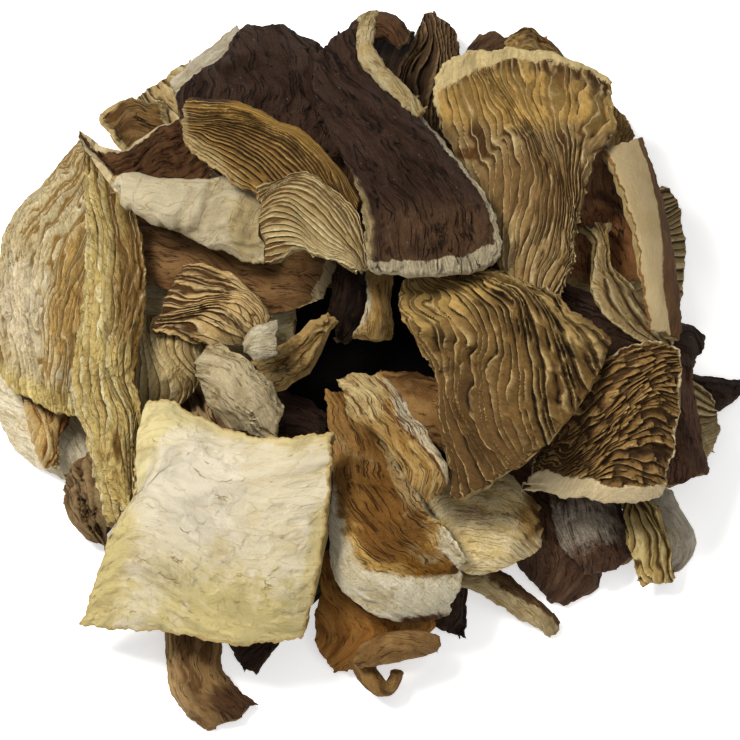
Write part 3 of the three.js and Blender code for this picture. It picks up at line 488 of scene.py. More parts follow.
# Gills: thin blades that lean over their neighbours, wander, clump and run out.
def gillTree():
    board, given, result = treeOf("gillBlades", "GeometryNodeTree", {"Sheet": "Geometry"} | {
        "Height": 1.4, "Lean": 0.8, "Wander": 0.8, "Short Gills": 0.4, "Fray": 0.4, "Margin": 0.1,
        "Uneven": 0.6, "Pairs": 0.5, "Melt": 0, "Sag": 0.4, "Scales": 0, "Settle": 0, "Seed": 0,
    } | sideSockets, "Cut", "Geometry")
    flow = seededFlow(board, given)
    shareDown, rim = board.split(vectorField(board, "share"))[1:]
    apart = numberField(board, "apart")
    down = board.split(flow)[1]

    # the gills wander together, less so down the sheet where they settle, and crowd in places
    slowSway, quickSway, startSway, mostUneven = 6, 2.4, 1.2, 4
    slow = (board.drift(flow, across=0.13, down=0.07, detail=1) - 0.5) * slowSway
    quick = (board.drift(flow, across=0.22, down=0.16, detail=1.5) - 0.5) * quickSway
    settled = startSway - board.step(shareDown, 0.15, 0.7) * given["Settle"]
    wander = (slow + quick) * given["Wander"] * settled / apart
    line = numberField(board, "gillLine")
    place = board.vector(line * 0.45, down * 0.02, given["Seed"])
    uneven = (board.noise(place, detail=1) - 0.5) * given["Uneven"] * mostUneven
    line = line + wander + uneven
    gill = board.math("FLOOR", line)
    phase = board.math("FRACT", line)

    def chance(offset):  # one random number for each gill
        place = board.vector(gill, given["Seed"] + offset)
        return board.number("ShaderNodeTexWhiteNoise", {"noise_dimensions": "2D"}, {"Vector": place})

    # two gills join into one wide one in places, and most where gills lie close together
    joinLevel, joinSoft = 0.62, 0.08
    half = board.math("FRACT", line * 0.5)
    limit = joinLevel - board.step(apart, 0.45, 0.75, 0.5, 0) - given["Pairs"] * 0.24
    paired = board.step(board.drift(flow, across=0.3, down=0.1), limit, limit + joinSoft)
    blade = board.blend(paired, curve(board, phase, bladeProfile), curve(board, half, bladeProfile))
    asideOne = curve(board, phase, bladeAside) - phase
    asideTwo = (curve(board, half, bladeAside) - half) * 2
    lateral = board.blend(paired, asideOne, asideTwo)

    # every second gill may start late, and gills are torn, melt into the face or break in scales
    latest, shortest, scalesPerMm = 1.6, 0.62, 0.17
    odd = board.math("MODULO", board.math("ABSOLUTE", gill), 2)
    start = odd * chance(3.1) * given["Short Gills"] * latest
    grown = board.step(shareDown, start - 0.08, start + 0.1)
    tall = chance(7.7) * (1 - shortest) + shortest
    torn = board.vectors("MULTIPLY", flow, (0.8, 0.55, 1))
    torn = board.step(board.noise(torn, scale=1.6, detail=3, rough=0.6), 0.45, 0.72)
    torn = 1 - torn * given["Fray"]
    meltLimit = 0.72 - given["Melt"] * 0.4
    merged = board.step(board.drift(flow, across=0.16, down=0.09), meltLimit, 0.85, 1, 0.25)
    scale = board.math("FRACT", down * scalesPerMm + chance(5.3))
    scaly = 1 - given["Scales"] * board.step(scale, 0, 0.9, 1, 0)

    # the margins stay bare and the back flat, and the sheet sags between its gills
    middle, gritHeight, crispAngle = 0.45, 0.16, 0.75
    ragged = (board.noise(flow, scale=0.6, detail=3, rough=0.6) - 0.5) * 1.6
    bare = board.step(numberField(board, "inside") - given["Margin"] + ragged, 0, 0.6)
    front = board.math("GREATER_THAN", numberField(board, "facing"), 0)
    standing = blade * (tall * grown * torn * merged * scaly)
    height = (standing - middle) * given["Height"] * board.math("MINIMUM", 1, apart * 0.9)
    sag = (board.drift(flow, across=0.2, down=0.16, detail=3) - 0.5) * given["Sag"] * 2
    grit = (board.noise(flow, scale=1.9, detail=3, rough=0.6) - 0.5) * gritHeight
    rise = (height * bare + (sag + grit)) * board.step(rim, 0, 1, 0.3, 1) * front * mm
    aside = lateral * given["Lean"] * apart * grown * bare * front * mm
    outward = board.scaled(vectorField(board, "outward"), rise)
    sideways = board.scaled(vectorField(board, "over"), aside)
    # where the material may paint shade into the crevices beside the crests
    crevice = bare * grown * merged * front
    # height tells the material where to paint shade in the hollows and a highlight on the crests
    kept = {"height": standing, "blade": line, "crevice": crevice, "paired": paired}
    finished(board, given, board.vectors("ADD", outward, sideways), crispAngle, kept, result)
    return board.tree


# Flesh and skin: fibres along the sheet, creases across or along it, and slow swells.
def driedTree():
    board, given, result = treeOf("driedSurface", "GeometryNodeTree", {"Sheet": "Geometry"} | {
        "Fibre Height": 0.3, "Fibre Width": 0.8, "Fibre Length": 9, "Crease Height": 0.3,
        "Crease Width": 1.6, "Crease Length": 9, "Crease Turn": 0, "Bend": 3, "Swell Height": 0.6,
        "Swell Size": 7, "Seed": 0,
    } | sideSockets, "Cut", "Geometry")
    flow = seededFlow(board, given)
    across, down, layer = board.split(flow)
    bend = (board.drift(flow, across=0.12, down=0.12) - 0.5) * given["Bend"] * 2
    bent, lift = across + bend, down + bend

    def lines(kind, crossed, followed):  # a place that counts in the lines' widths and lengths
        return board.vector(crossed / given[kind + " Width"], followed / given[kind + " Length"], layer)

    # a crease is where its noise is near the middle, and creases leave parts of the sheet out
    creaseHalf, smoothLevel, crispAngle = 0.085, 0.8, 1
    fibre = board.noise(lines("Fibre", bent, down), scale=0.5, detail=2.5, rough=0.55)
    place = board.turned(given["Crease Turn"], lines("Crease", bent, down), lines("Crease", lift, across))
    ridge = board.math("ABSOLUTE", board.noise(place, scale=0.5) - 0.5)
    leftOut = board.step(board.noise(board.scaled(flow, 0.16)), 0.4, 0.56, 1, 0)
    crease = board.math("MAXIMUM", board.step(ridge, 0, creaseHalf), leftOut * smoothLevel)
    swell = board.noise(board.scaled(flow, 1 / given["Swell Size"]))
    fibrous = (fibre - 0.5) * given["Fibre Height"] * 2
    creased = (crease - smoothLevel) * given["Crease Height"]
    swollen = (swell - 0.5) * given["Swell Height"] * 2
    front = board.math("GREATER_THAN", numberField(board, "facing"), 0)
    rim = board.split(vectorField(board, "share"))[2]
    rise = ((fibrous + creased) * front + swollen) * board.step(rim, 0, 1.2, 0.35, 1) * mm
    offset = board.scaled(vectorField(board, "outward"), rise)
    # the height, low in the creases and between the fibres, tells the material where to paint shade and
    # where a highlight
    finished(board, given, offset, crispAngle, {"height": fibre * 0.5 + crease * 0.5}, result)
    return board.tree


def surfaceNode(board, name):  # what the cut keeps at each point, as a material reads it
    settings = {"attribute_type": "GEOMETRY", "attribute_name": name}
    return board.node("ShaderNodeAttribute", settings).outputs


def surface(board, name):
    return Number(board, surfaceNode(board, name)["Fac"])


def flowOf(board):
    return surfaceNode(board, "flow")["Vector"]


crumbWarp = crackWarp = 0.9  # how far noise pushes the borders of their cells about
flakeSquash, flakeLayers = 0.3, 7
crackSquash, crackWidth = 0.45, 0.16  # squashed noise makes long shapes, and the width is in mm
spotReach = 0.9  # how far out the middle of a spot's soft edge lies


# The masks for the materials to mix with. Each becomes a shader group with one output.
def grainMask(board, given):  # streaks along the sheet
    flow = flowOf(board)
    across, down, layer = board.split(flow)
    across = across + board.noise(board.scaled(flow, 0.09), detail=1) * 5
    place = board.vector(across / given["Width"], down / given["Length"], layer)
    return board.step(board.noise(place, detail=3, rough=0.6), given["Low"], given["High"])


def patchMask(board, given):  # soft patches
    place = board.vectors("ADD", flowOf(board), board.vector(0, 0, given["Seed"]))
    patch = board.noise(board.scaled(place, 1 / given["Size"]), detail=4, rough=0.6)
    return board.step(patch, given["Low"], given["High"])


def crumbMask(board, given):  # small scattered specks
    place = board.warped(flowOf(board), 0, crumbWarp, scale=2, detail=3)
    inputs = {"Vector": place, "Scale": 1 / given["Size"]}
    cells = board.node("ShaderNodeTexVoronoi", {"feature": "F1"}, inputs).outputs
    chosen = board.math("LESS_THAN", board.split(cells["Color"])[0], given["Amount"])
    return board.step(cells["Distance"], 0.12, 0.3, 1, 0) * chosen


def veinMask(board, given):  # thin wavy lines along or across the sheet
    flow = flowOf(board)
    across, down, layer = board.split(flow)
    bend = (board.noise(board.scaled(flow, 0.16)) - 0.5) * given["Bend"] * 2
    across, down = across + bend, down + bend
    alongSheet = board.vector(across, down / given["Long"], layer)
    acrossSheet = board.vector(across / given["Long"], down, layer)
    place = board.scaled(board.turned(given["Turn"], alongSheet, acrossSheet), 0.5 / given["Width"])
    line = board.math("ABSOLUTE", board.noise(place, detail=2.5, rough=0.55) - 0.5)
    shown = board.step(board.noise(board.scaled(flow, 0.35)), 0.38, 0.55)
    return board.step(line, 0, given["Thin"], 1, 0) * shown


def flakeMask(board, given):  # layers that end in thin steps: 0 at the foot of a step, 1 at its top
    across, down, layer = board.split(flowOf(board))
    place = board.scaled(board.vector(across, down * flakeSquash, layer), 0.5 / given["Size"])
    return board.math("FRACT", board.noise(place, detail=2.5) * flakeLayers)


def crackMask(board, given):  # short thin creases along the borders of stretched cells
    across, down, layer = board.split(flowOf(board))
    place = board.scaled(board.vector(across, down * crackSquash, layer), 1 / given["Size"])
    place = board.warped(place, 0.5, crackWarp, scale=2.2, detail=4)
    inputs = {"Vector": place, "Scale": 1}
    cells = board.node("ShaderNodeTexVoronoi", {"feature": "DISTANCE_TO_EDGE"}, inputs).outputs
    limit = 0.72 - given["Amount"] * 0.36
    shown = board.step(board.noise(board.scaled(place, 1.3)), limit, limit + 0.12)
    return board.step(cells["Distance"], 0, crackWidth / given["Size"], 1, 0) * shown


def rimMask(board, given):  # the bare margins and an uneven band along the torn edge
    uneven = board.noise(flowOf(board), scale=0.5, detail=4, rough=0.65) - 0.5
    away = surface(board, "inside") + uneven * given["Ragged"]
    soft = given["Ragged"] * 0.08
    return board.step(away, given["Width"] - soft, given["Width"] + soft, 1, 0)


def spotMask(board, given):  # one soft-edged spot at a share across and a share down
    across, down = board.split(surfaceNode(board, "share")["Vector"])[:2]
    x = (across - given["Across"]) / given["Half Width"]
    y = (down - given["Down"]) / given["Half Length"]
    uneven = board.noise(flowOf(board), scale=0.3, detail=4, rough=0.6) - 0.5
    off = board.math("SQRT", x * x + y * y) + uneven * given["Uneven"]
    soft = given["Soft"] * 0.5
    return board.step(off, spotReach - soft, spotReach + soft, 1, 0)


def shaderGroup(name, build, inputs):
    board, given, result = treeOf(name, "ShaderNodeTree", inputs, "Mask", "Float")
    board.plug(result, build(board, given))
    return board.tree


masks = {
    "grain": shaderGroup("grain", grainMask, {"Width": 0.6, "Length": 9, "Low": 0.4, "High": 0.62}),
    "patch": shaderGroup("patch", patchMask, {"Size": 8, "Low": 0.5, "High": 0.65, "Seed": 0}),
    "crumb": shaderGroup("crumb", crumbMask, {"Size": 2, "Amount": 0.2}),
    "vein": shaderGroup("vein", veinMask, {"Width": 1, "Long": 8, "Thin": 0.03, "Bend": 2, "Turn": 0}),
    "flake": shaderGroup("flake", flakeMask, {"Size": 2}),
    "crack": shaderGroup("crack", crackMask, {"Size": 5, "Amount": 0.5}),
    "rim": shaderGroup("rim", rimMask, {"Width": 1, "Ragged": 2.4}),
    "spot": shaderGroup("spot", spotMask, {
        "Across": 0.5, "Down": 0.5, "Half Width": 0.3, "Half Length": 0.3, "Uneven": 0.8, "Soft": 0.6,
    }),
}

colourUsual = {
    # the colour of the hollows is painted shade, and the high colour a painted highlight on the tops
    "paintedHollowShade": (45, 28, 18), "face": (150, 115, 65), "high": (190, 165, 115),  # by height on the sheet
    "stain": (95, 62, 32), "stainSize": 9, "stainAmount": 0.35,
    "streak": (120, 88, 50), "streakAmount": 0.35, "streakWidth": 0.5, "streakLong": 14,
    "rim": (200, 185, 145), "rimWidth": 0, "rimRagged": 2.4,
    "crumb": (205, 195, 165), "crumbAmount": 0, "crumbSize": 1.6,
    "spots": (), "spotSoft": 0.6, "spotUneven": 0.8,  # each across, down, half width, half length, colour
    "rough": 0.88, "bump": 0.8, "bumpDistance": 0.37, "shine": 0.1, "mottle": 0.25, "grain": 1,
    # the gills' crevices take painted shade and their crests a painted highlight
    "gilled": False, "creviceWidth": 0.13, "creviceDark": 0.85, "crestLight": 0.5,
    # the crack colour is painted shade in the creases
    "crack": (110, 84, 50), "crackAmount": 0, "crackSize": 5, "crackDark": 0.8,
    "vein": (120, 88, 46), "veinAmount": 0, "veinWidth": 1, "veinLong": 8, "veinThin": 0.03,
    "veinTurn": 0, "linesInSpots": False,  # veins turned 0 along or 1 across, and kept to the spots
    # flakeDark sets how dark the painted shadow at each flake's foot is
    "flakeAmount": 0, "flakeSize": 2, "flakeDark": 0.4,
}
# where the painted shade of the hollows gives way to the face, and the face to the painted highlight
faceComesIn, highComesIn = (0.04, 0.32), (0.4, 0.95)  # heights on the sheet
stainLevels = (0.62, 0.8)  # of the patches' noise, where a stain starts and is whole
flakeTint = (0.7, 1, 1.6)  # how much of the red, green and blue a flake's shadow takes


def mask(board, name, inputs):
    return board.number("ShaderNodeGroup", {"node_tree": masks[name]}, inputs)


# Each gill has a tone of its own, a painted highlight on its crest and a thin painted shadow in the crevice
# beside it.
def gillColour(board, look, colour):
    flow = flowOf(board)
    uneven = board.noise(flow, scale=0.5, detail=3, rough=0.6) - 0.5
    line = surface(board, "blade") + uneven * 0.3

    def drawn(line, width):
        phase = board.math("FRACT", line)
        inputs = {"W": board.math("FLOOR", line)}
        tone = board.number("ShaderNodeTexWhiteNoise", {"noise_dimensions": "1D"}, inputs)
        crest = board.step(phase, 0.68, 0.8) * board.step(phase, 0.83, 0.88, 1, 0)
        edge = board.math("ABSOLUTE", phase - 0.95)
        edge = board.math("MINIMUM", edge, 1 - edge)
        return tone, crest, board.step(edge, width * 0.25, width, 1, 0)

    thick = board.drift(flow, across=0.5, down=0.16, detail=2.5, rough=0.6)
    thick = board.step(thick, 0.35, 0.68, 0.45, 1.5)
    width = thick * look["creviceWidth"]
    paired = surface(board, "paired")
    one, two = drawn(line, width), drawn(line * 0.5, width * 0.6)
    tone, crest, crevice = (board.blend(paired, a, b) for a, b in zip(one, two))
    darkest, toneRange = 0.76, 0.36
    shade = tone * toneRange + darkest
    colour = board.dimmed(colour, shade, shade, shade)
    # painted highlight along each gill's crest
    colour = board.tinted(crest * look["crestLight"], colour, tint(*look["high"]))
    # painted shade: a thin dark line in the crevice beside each crest
    crevice = crevice * surface(board, "crevice") * look["creviceDark"]
    crevice = crevice * board.step(thick, 0.5, 1.3, 0.55, 1)
    return board.tinted(crevice, colour, tint(*look["paintedHollowShade"]))


def ownMask(board, look, kind, *labels):  # a mask with the sizes that the look gives for it
    return mask(board, kind, {label: look[kind + label] for label in labels})


def painted(board, look, colour, cover, paint):
    return board.tinted(cover, colour, tint(*look[paint]))


# The face's colour, with painted shade in its hollows and a painted highlight on its tops, with its spots,
# which take the same painted light and shade, and where the spots are.
def spottedColour(board, look):
    height = surface(board, "height")
    colour = board.tinted(board.step(height, *faceComesIn), tint(*look["paintedHollowShade"]), tint(*look["face"]))
    colour = painted(board, look, colour, board.step(height, *highComesIn), "high")
    # painted light and shade by height: the spots' colours are dimmed in the hollows and brightened on the
    # tops
    lit = board.step(height, *faceComesIn, 0.5, 1) * board.step(height, *highComesIn, 1, 1.3)
    spotted = 0
    for across, down, halfWidth, halfLength, paint in look["spots"]:
        spot = mask(board, "spot", {
            "Across": across, "Down": down, "Half Width": halfWidth, "Half Length": halfLength,
            "Soft": look["spotSoft"], "Uneven": look["spotUneven"],
        })
        spotted = board.math("MAXIMUM", spotted, spot)
        colour = board.tinted(spot, colour, board.dimmed(tint(*paint), lit, lit, lit))
    return colour, spotted


# A rim band, stains, streaks and crumbs over the colour. More stain lowers its levels and covers more.
def stainedColour(board, look, colour, spotted, seed):
    if look["rimWidth"]:
        colour = painted(board, look, colour, ownMask(board, look, "rim", "Width", "Ragged"), "rim")
    amount = look["stainAmount"]
    if amount:
        low, high = (level - 0.3 * amount for level in stainLevels)
        inputs = {"Size": look["stainSize"], "Low": low, "High": high, "Seed": seed}
        stained = mask(board, "patch", inputs) * min(1, 0.5 + amount)
        colour = painted(board, look, colour, stained, "stain")
    inputs = {"Width": look["streakWidth"], "Length": look["streakLong"] * look["streakWidth"]}
    streaked = mask(board, "grain", inputs)
    if look["linesInSpots"]:
        streaked = streaked * spotted
    colour = painted(board, look, colour, streaked * look["streakAmount"], "streak")
    if look["crumbAmount"]:
        colour = painted(board, look, colour, ownMask(board, look, "crumb", "Size", "Amount"), "crumb")
    return colour


# Fine grain, veins, flakes and cracks, both in the colour and as a height for the bump. The flakes' feet
# get a painted shadow and the cracks painted shade.
def roughened(board, look, colour, spotted):
    flow = flowOf(board)
    fine = board.drift(flow, across=2.2, down=0.6, detail=5, rough=0.7)
    relief = fine * look["grain"] + board.noise(flow, scale=2.4, detail=4, rough=0.7) * 0.9
    low = 0.5 * look["grain"] + 0.2
    # the colour follows the relief: darker where it is low and lighter where it is high
    shade = board.step(relief, low, low + 0.55, 1 - look["mottle"], 1 + 0.4 * look["mottle"])
    colour = board.dimmed(colour, shade, shade, shade)
    if look["veinAmount"]:
        veined = ownMask(board, look, "vein", "Width", "Long", "Thin", "Turn")
        if look["linesInSpots"]:
            veined = veined * spotted
        veined = veined * look["veinAmount"]
        colour = painted(board, look, colour, veined, "vein")
        relief = relief - veined
    if look["flakeAmount"]:
        flake = ownMask(board, look, "flake", "Size")
        there = board.step(board.noise(flow, scale=0.25), 0.42, 0.56, 0.25, 1)
        # a painted shadow along the foot of each flake's step
        foot = board.step(flake, 0, 0.2, look["flakeDark"], 0) * there
        colour = board.dimmed(colour, *[1 - foot * part for part in flakeTint])
        relief = relief + flake * there * look["flakeAmount"]
    if look["crackAmount"]:
        cracked = ownMask(board, look, "crack", "Size", "Amount")
        # painted shade in the cracks
        colour = painted(board, look, colour, cracked * look["crackDark"], "crack")
        relief = relief - cracked
    return colour, relief


def cutMaterial(name, look, seed):  # one matt face
    look = colourUsual | look
    material = bpy.data.materials.new(name)
    material.use_nodes = True
    board = Board(material.node_tree)
    colour, spotted = spottedColour(board, look)
    if look["gilled"]:
        colour = gillColour(board, look, colour)
    colour = stainedColour(board, look, colour, spotted, seed)
    colour, relief = roughened(board, look, colour, spotted)
    inputs = {"Height": relief, "Strength": look["bump"], "Distance": look["bumpDistance"] * mm}
    shader = material.node_tree.nodes["Principled BSDF"].inputs
    board.plug(shader["Base Color"], colour)
    board.plug(shader["Normal"], board.node("ShaderNodeBump", None, inputs).outputs[0])
    shader["Roughness"].default_value = look["rough"]
    shader["Specular IOR Level"].default_value = look["shine"]
    return material


backLook = {"paintedHollowShade": (60, 42, 30), "face": (92, 70, 52), "high": (120, 96, 74), "stainAmount": 0.3}
backSeed = 3
backFinish = cutMaterial("cap_back_skin", backLook, backSeed)
gillBlades = gillTree()
driedSurface = driedTree()
print("gill and dried surface trees, masks and back finish built")
seedStep = 1.7  # from one cut's random pattern to the next one's
dressed = {}


# Draws one cut over its solid, raises its surface and hands it to the frame.
def dress(name, tree, sizes, sheet, colours):
    seed = seedStep * (1 + len(dressed))
    cut = bpy.data.objects.new(name + "_cut", sheetMesh(name, sheet, seed))
    bpy.context.collection.objects.link(cut)
    rimLook = {"face": colours["rim"], "high": colours["rim"], "stainAmount": 0.3}
    values = {
        "Seed": seed, "Front": cutMaterial(name + "_face", colours, seed), "Back": backFinish,
        "Rim": cutMaterial(name + "_rim", rimLook, seed),
    } | sizes
    modifier = cut.modifiers.new("surface", "NODES")
    modifier.node_group = tree
    for item in tree.interface.items_tree:
        if item.in_out == "INPUT" and item.name in values:
            modifier[item.identifier] = values[item.name]
    shown = cut.evaluated_get(bpy.context.evaluated_depsgraph_get())
    mesh = bpy.data.meshes.new_from_object(shown)
    cut.modifiers.clear()
    cut.data = mesh
    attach(cut, "root")
    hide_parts(name)
    dressed[name] = cut
    print(f"{name}: {len(mesh.polygons)} faces, {len(mesh.materials)} finishes")


def gilledCut(name, sheet, sizes, colours):
    dress(name, gillBlades, sizes, sheet, colours | {"gilled": True})


def driedCut(name, sheet, sizes, colours):
    dress(name, driedSurface, sizes, sheet, colours)


# palettes of the kinds of face, which change what is usual
skinDark = {
    "paintedHollowShade": (24, 15, 10), "face": (59, 41, 31), "high": (81, 59, 46), "stain": (46, 31, 22),
    "stainAmount": 0.3, "streak": (72, 51, 38), "rim": (120, 98, 68), "rimWidth": 0.2, "rough": 0.75,
    "bump": 2.0, "mottle": 0.35, "crack": (14, 9, 7), "crackAmount": 0.5, "crackSize": 4,
    "vein": (16, 10, 8), "veinAmount": 0.7, "veinWidth": 1.4, "crumb": (120, 104, 86), "crumbAmount": 0.05,
    "crumbSize": 0.8,
}
skinBrown = {
    "paintedHollowShade": (34, 20, 12), "face": (80, 52, 33), "high": (110, 78, 50), "stain": (50, 31, 20),
    "streak": (88, 61, 38), "rim": (140, 116, 76), "rimWidth": 0.4, "rough": 0.75, "bump": 1.6,
    "mottle": 0.35, "crack": (24, 15, 9), "crackAmount": 0.5, "crackSize": 4, "vein": (28, 17, 10),
    "veinAmount": 0.7,
}
fleshCream = {
    "paintedHollowShade": (146, 116, 66), "face": (190, 172, 126), "high": (208, 194, 154), "stain": (176, 146, 84),
    "stainAmount": 0.2, "streak": (164, 134, 76), "streakAmount": 0.2, "rim": (186, 164, 112),
    "crack": (128, 98, 56), "crackAmount": 0.2, "vein": (140, 108, 60), "veinAmount": 0.5, "bump": 1.2,
    "flakeAmount": 0.6,
}
fleshWhite = {
    "paintedHollowShade": (150, 130, 94), "face": (194, 180, 148), "high": (214, 204, 178), "stain": (178, 158, 114),
    "stainAmount": 0.2, "streak": (170, 152, 112), "streakAmount": 0.15, "rim": (184, 166, 124),
    "crack": (126, 102, 66), "crackAmount": 0.1, "vein": (146, 124, 86), "veinAmount": 0.4, "bump": 1.2,
    "flakeAmount": 0.6, "flakeDark": 0.3,
}
fleshGold = {
    "paintedHollowShade": (70, 42, 18), "face": (144, 108, 54), "high": (190, 162, 106), "stain": (112, 72, 30),
    "stainAmount": 0.25, "streak": (176, 142, 84), "streakAmount": 0.5, "streakWidth": 0.3,
    "rim": (176, 146, 92), "crack": (60, 36, 16), "crackAmount": 0.2, "crackSize": 4, "vein": (66, 40, 18),
    "veinAmount": 0.8, "bump": 1.2, "flakeAmount": 0.8, "flakeSize": 1.2, "flakeDark": 0.5,
}
gillTan = {
    "paintedHollowShade": (46, 30, 16), "face": (128, 100, 56), "high": (176, 150, 98), "stain": (104, 76, 38),
    "stainAmount": 0.2, "rim": (160, 136, 88), "streakAmount": 0.15, "bump": 0.5,
}
gillBrown = gillTan | {
    "paintedHollowShade": (32, 19, 11), "face": (96, 68, 36), "high": (146, 112, 64), "stain": (76, 50, 26),
    "rim": (132, 102, 60),
}
gillDark = gillTan | {
    "paintedHollowShade": (22, 15, 11), "face": (70, 52, 34), "high": (124, 102, 74), "stain": (48, 34, 23),
    "rim": (110, 88, 60),
}
gillPale = gillTan | {
    "paintedHollowShade": (74, 52, 28), "face": (160, 138, 92), "high": (204, 188, 146), "stain": (146, 114, 62),
    "rim": (190, 172, 126),
}
hidden = {"pitch": 0.7}  # a coarser sheet, for cuts that hardly show
evenGills = {"Height": 1.1, "Wander": 0.25, "Uneven": 0.25, "Pairs": 0, "Short Gills": 0.15, "Sag": 0.3}

# Each cut has its name, the form of its sheet, the sizes of its surface and its colours.
# The first ones lie at the bottom of the heap.
# painted shade: the bottom cut is near black so the hole in the middle of the heap reads as black shadow
driedCut("cap_floor", hidden | {"bulges": ((1, 0.4, 1.2, 3, 1),)}, {}, skinDark | {
    "paintedHollowShade": (4, 3, 2), "face": (7, 5, 4), "high": (10, 7, 5), "crumbAmount": 0, "stainAmount": 0,
    "streakAmount": 0,
})
driedCut("cap_tip_low", hidden, {}, skinDark)
driedCut("cap_tip_front", hidden, {}, skinDark)
driedCut("cap_tip_right", {"pitch": 0.6}, {}, skinDark)
driedCut("cream_low_left", {"pitch": 0.5}, {}, fleshWhite | {
    "face": (232, 216, 180), "high": (246, 236, 208),
})
driedCut("gill_dark_left", {"pitch": 0.5}, {
    "Crease Turn": 1, "Crease Height": 1.8, "Crease Width": 2,
}, gillDark | {
    "paintedHollowShade": (20, 13, 9), "face": (92, 68, 44), "high": (150, 126, 88), "vein": (20, 12, 8),
    "veinAmount": 0.9, "veinTurn": 1, "veinWidth": 1.4,
})
driedCut("stem_low", {}, {
    "Fibre Height": 0.7, "Fibre Width": 1.6, "Fibre Length": 30,
}, gillBrown | {
    "face": (96, 68, 40), "high": (146, 116, 74), "vein": (40, 24, 13), "veinAmount": 0.9, "veinWidth": 0.7,
    "veinLong": 16, "spots": (
        (0.25, 0.95, 0.5, 0.16, (66, 44, 27)), (0.95, 0.6, 0.25, 0.3, (150, 122, 82)),
    ),
})
gilledCut("gill_bit_left", {"gills": 12, "pitch": 0.7}, {}, gillPale)
driedCut("cap_bit_top", hidden | {"bulges": ((0, -0.2, 1, 3, 1),)}, {}, skinBrown)
gilledCut("gill_edge_top", {"gills": 12, "pitch": 0.7}, {}, gillTan)
gilledCut("gill_fringe_right", {"gills": 18, "pitch": 0.6}, evenGills, gillPale)
driedCut("prop_left", hidden, {}, fleshCream)
driedCut("prop_top", hidden | {"bulges": ((3, 0.3, 1.3, 4, 1),)}, {}, skinBrown | {
    "spots": ((0.8, 1.0, 0.6, 0.2, (16, 11, 8)),),
})
gilledCut("gill_edge_right", {"gills": 15, "pitch": 0.6}, evenGills, gillPale)
driedCut("cap_low_right", {"pitch": 0.5}, {}, skinBrown | {
    "face": (96, 68, 50), "high": (124, 94, 72),
})
gilledCut("gill_low_left", {"gills": 6}, {"Height": 1.5, "Pairs": 0.5}, fleshGold | {
    "face": (206, 172, 108), "high": (236, 216, 164), "paintedHollowShade": (124, 74, 30), "flakeAmount": 0,
    "veinAmount": 0.2, "stainAmount": 0.1, "creviceWidth": 0.2,
})
driedCut("flesh_low_right", {}, {}, fleshWhite | {
    "face": (196, 184, 164), "high": (212, 202, 184),
})
driedCut("cap_grey_right", {"bulges": ((0, -0.3, 0.9, 3, 1),)}, {}, skinBrown | {
    "paintedHollowShade": (130, 114, 94), "face": (176, 160, 138), "high": (204, 190, 170), "stain": (92, 66, 50),
    "stainAmount": 0.4, "mottle": 0.5, "spots": (
        (0.5, 1.0, 1, 0.4, (100, 70, 52)), (0.0, 0.3, 0.14, 0.6, (72, 50, 38)),
    ),
})
driedCut("spike_low", {}, {"Fibre Length": 20}, fleshCream | {
    "face": (176, 156, 114), "high": (196, 178, 138), "stainAmount": 0.4, "stain": (104, 74, 44),
    "spots": ((0, 0.75, 0.55, 0.7, (72, 48, 33)),), "spotSoft": 0.2,
})
gilledCut("gill_low_right", {"gills": 8}, {"Height": 0.9}, gillPale | {
    "face": (170, 142, 84), "high": (210, 188, 130),
})
driedCut("cap_right", {}, {}, skinBrown | {"face": (92, 60, 42), "high": (118, 84, 60)})
gilledCut("gill_top", {"gills": 11, "bulges": ((2, -0.4, 1.4, 6, 1),)}, {
    "Short Gills": 0.1,
}, gillDark)
driedCut("cap_bit_right", {}, {"Crease Height": 0.9}, fleshGold | {
    "stainAmount": 0.8, "stain": (60, 38, 24),
})
driedCut("flesh_back", {}, {}, fleshWhite | {
    "face": (184, 172, 146), "high": (204, 196, 176),
})
driedCut("cap_bit_left", {}, {}, skinBrown | {
    "face": (104, 72, 36), "high": (150, 116, 66), "rimWidth": 0.8, "rim": (184, 162, 112),
})
driedCut("brown_right", {}, {"Crease Turn": 1, "Crease Width": 3}, skinBrown | {
    "face": (132, 84, 46), "high": (156, 108, 64),
})
driedCut("cap_band_right", {}, {}, skinDark | {"face": (62, 42, 31), "high": (84, 61, 47)})
gilledCut("flesh_fold_right", {"gills": 5, "perGill": 12}, evenGills | {
    "Height": 1.0, "Pairs": 0.3,
}, fleshCream | {
    "paintedHollowShade": (58, 38, 24), "face": (150, 128, 88), "high": (196, 178, 136), "creviceWidth": 0.2,
})
driedCut("stick_right", {}, {
    "Fibre Height": 0.1, "Crease Height": 0.1, "Swell Height": 0.3,
}, fleshCream | {
    "paintedHollowShade": (150, 128, 88), "face": (162, 142, 104), "high": (172, 154, 118), "spots": (
        (0.0, 0.6, 0.3, 3, (78, 54, 37)), (0.0, 1.0, 0.5, 0.6, (78, 54, 37)),
        (1.0, 0.5, 0.07, 3, (110, 78, 46)),
    ), "spotSoft": 0.1, "spotUneven": 0.3, "bump": 0.5, "mottle": 0.1, "veinAmount": 0.1, "crackAmount": 0,
    "streakAmount": 0.1, "flakeAmount": 0,
})
gilledCut("gill_under_fan", {
    "gills": 11, "bulges": ((3, 0.2, 1.4, 3.5, 1), (1, 0.5, 1.3, 2, 1), (0, 0.5, 1.3, 2, 1)),
}, evenGills, fleshCream | {"paintedHollowShade": (116, 86, 46), "face": (186, 162, 110)})
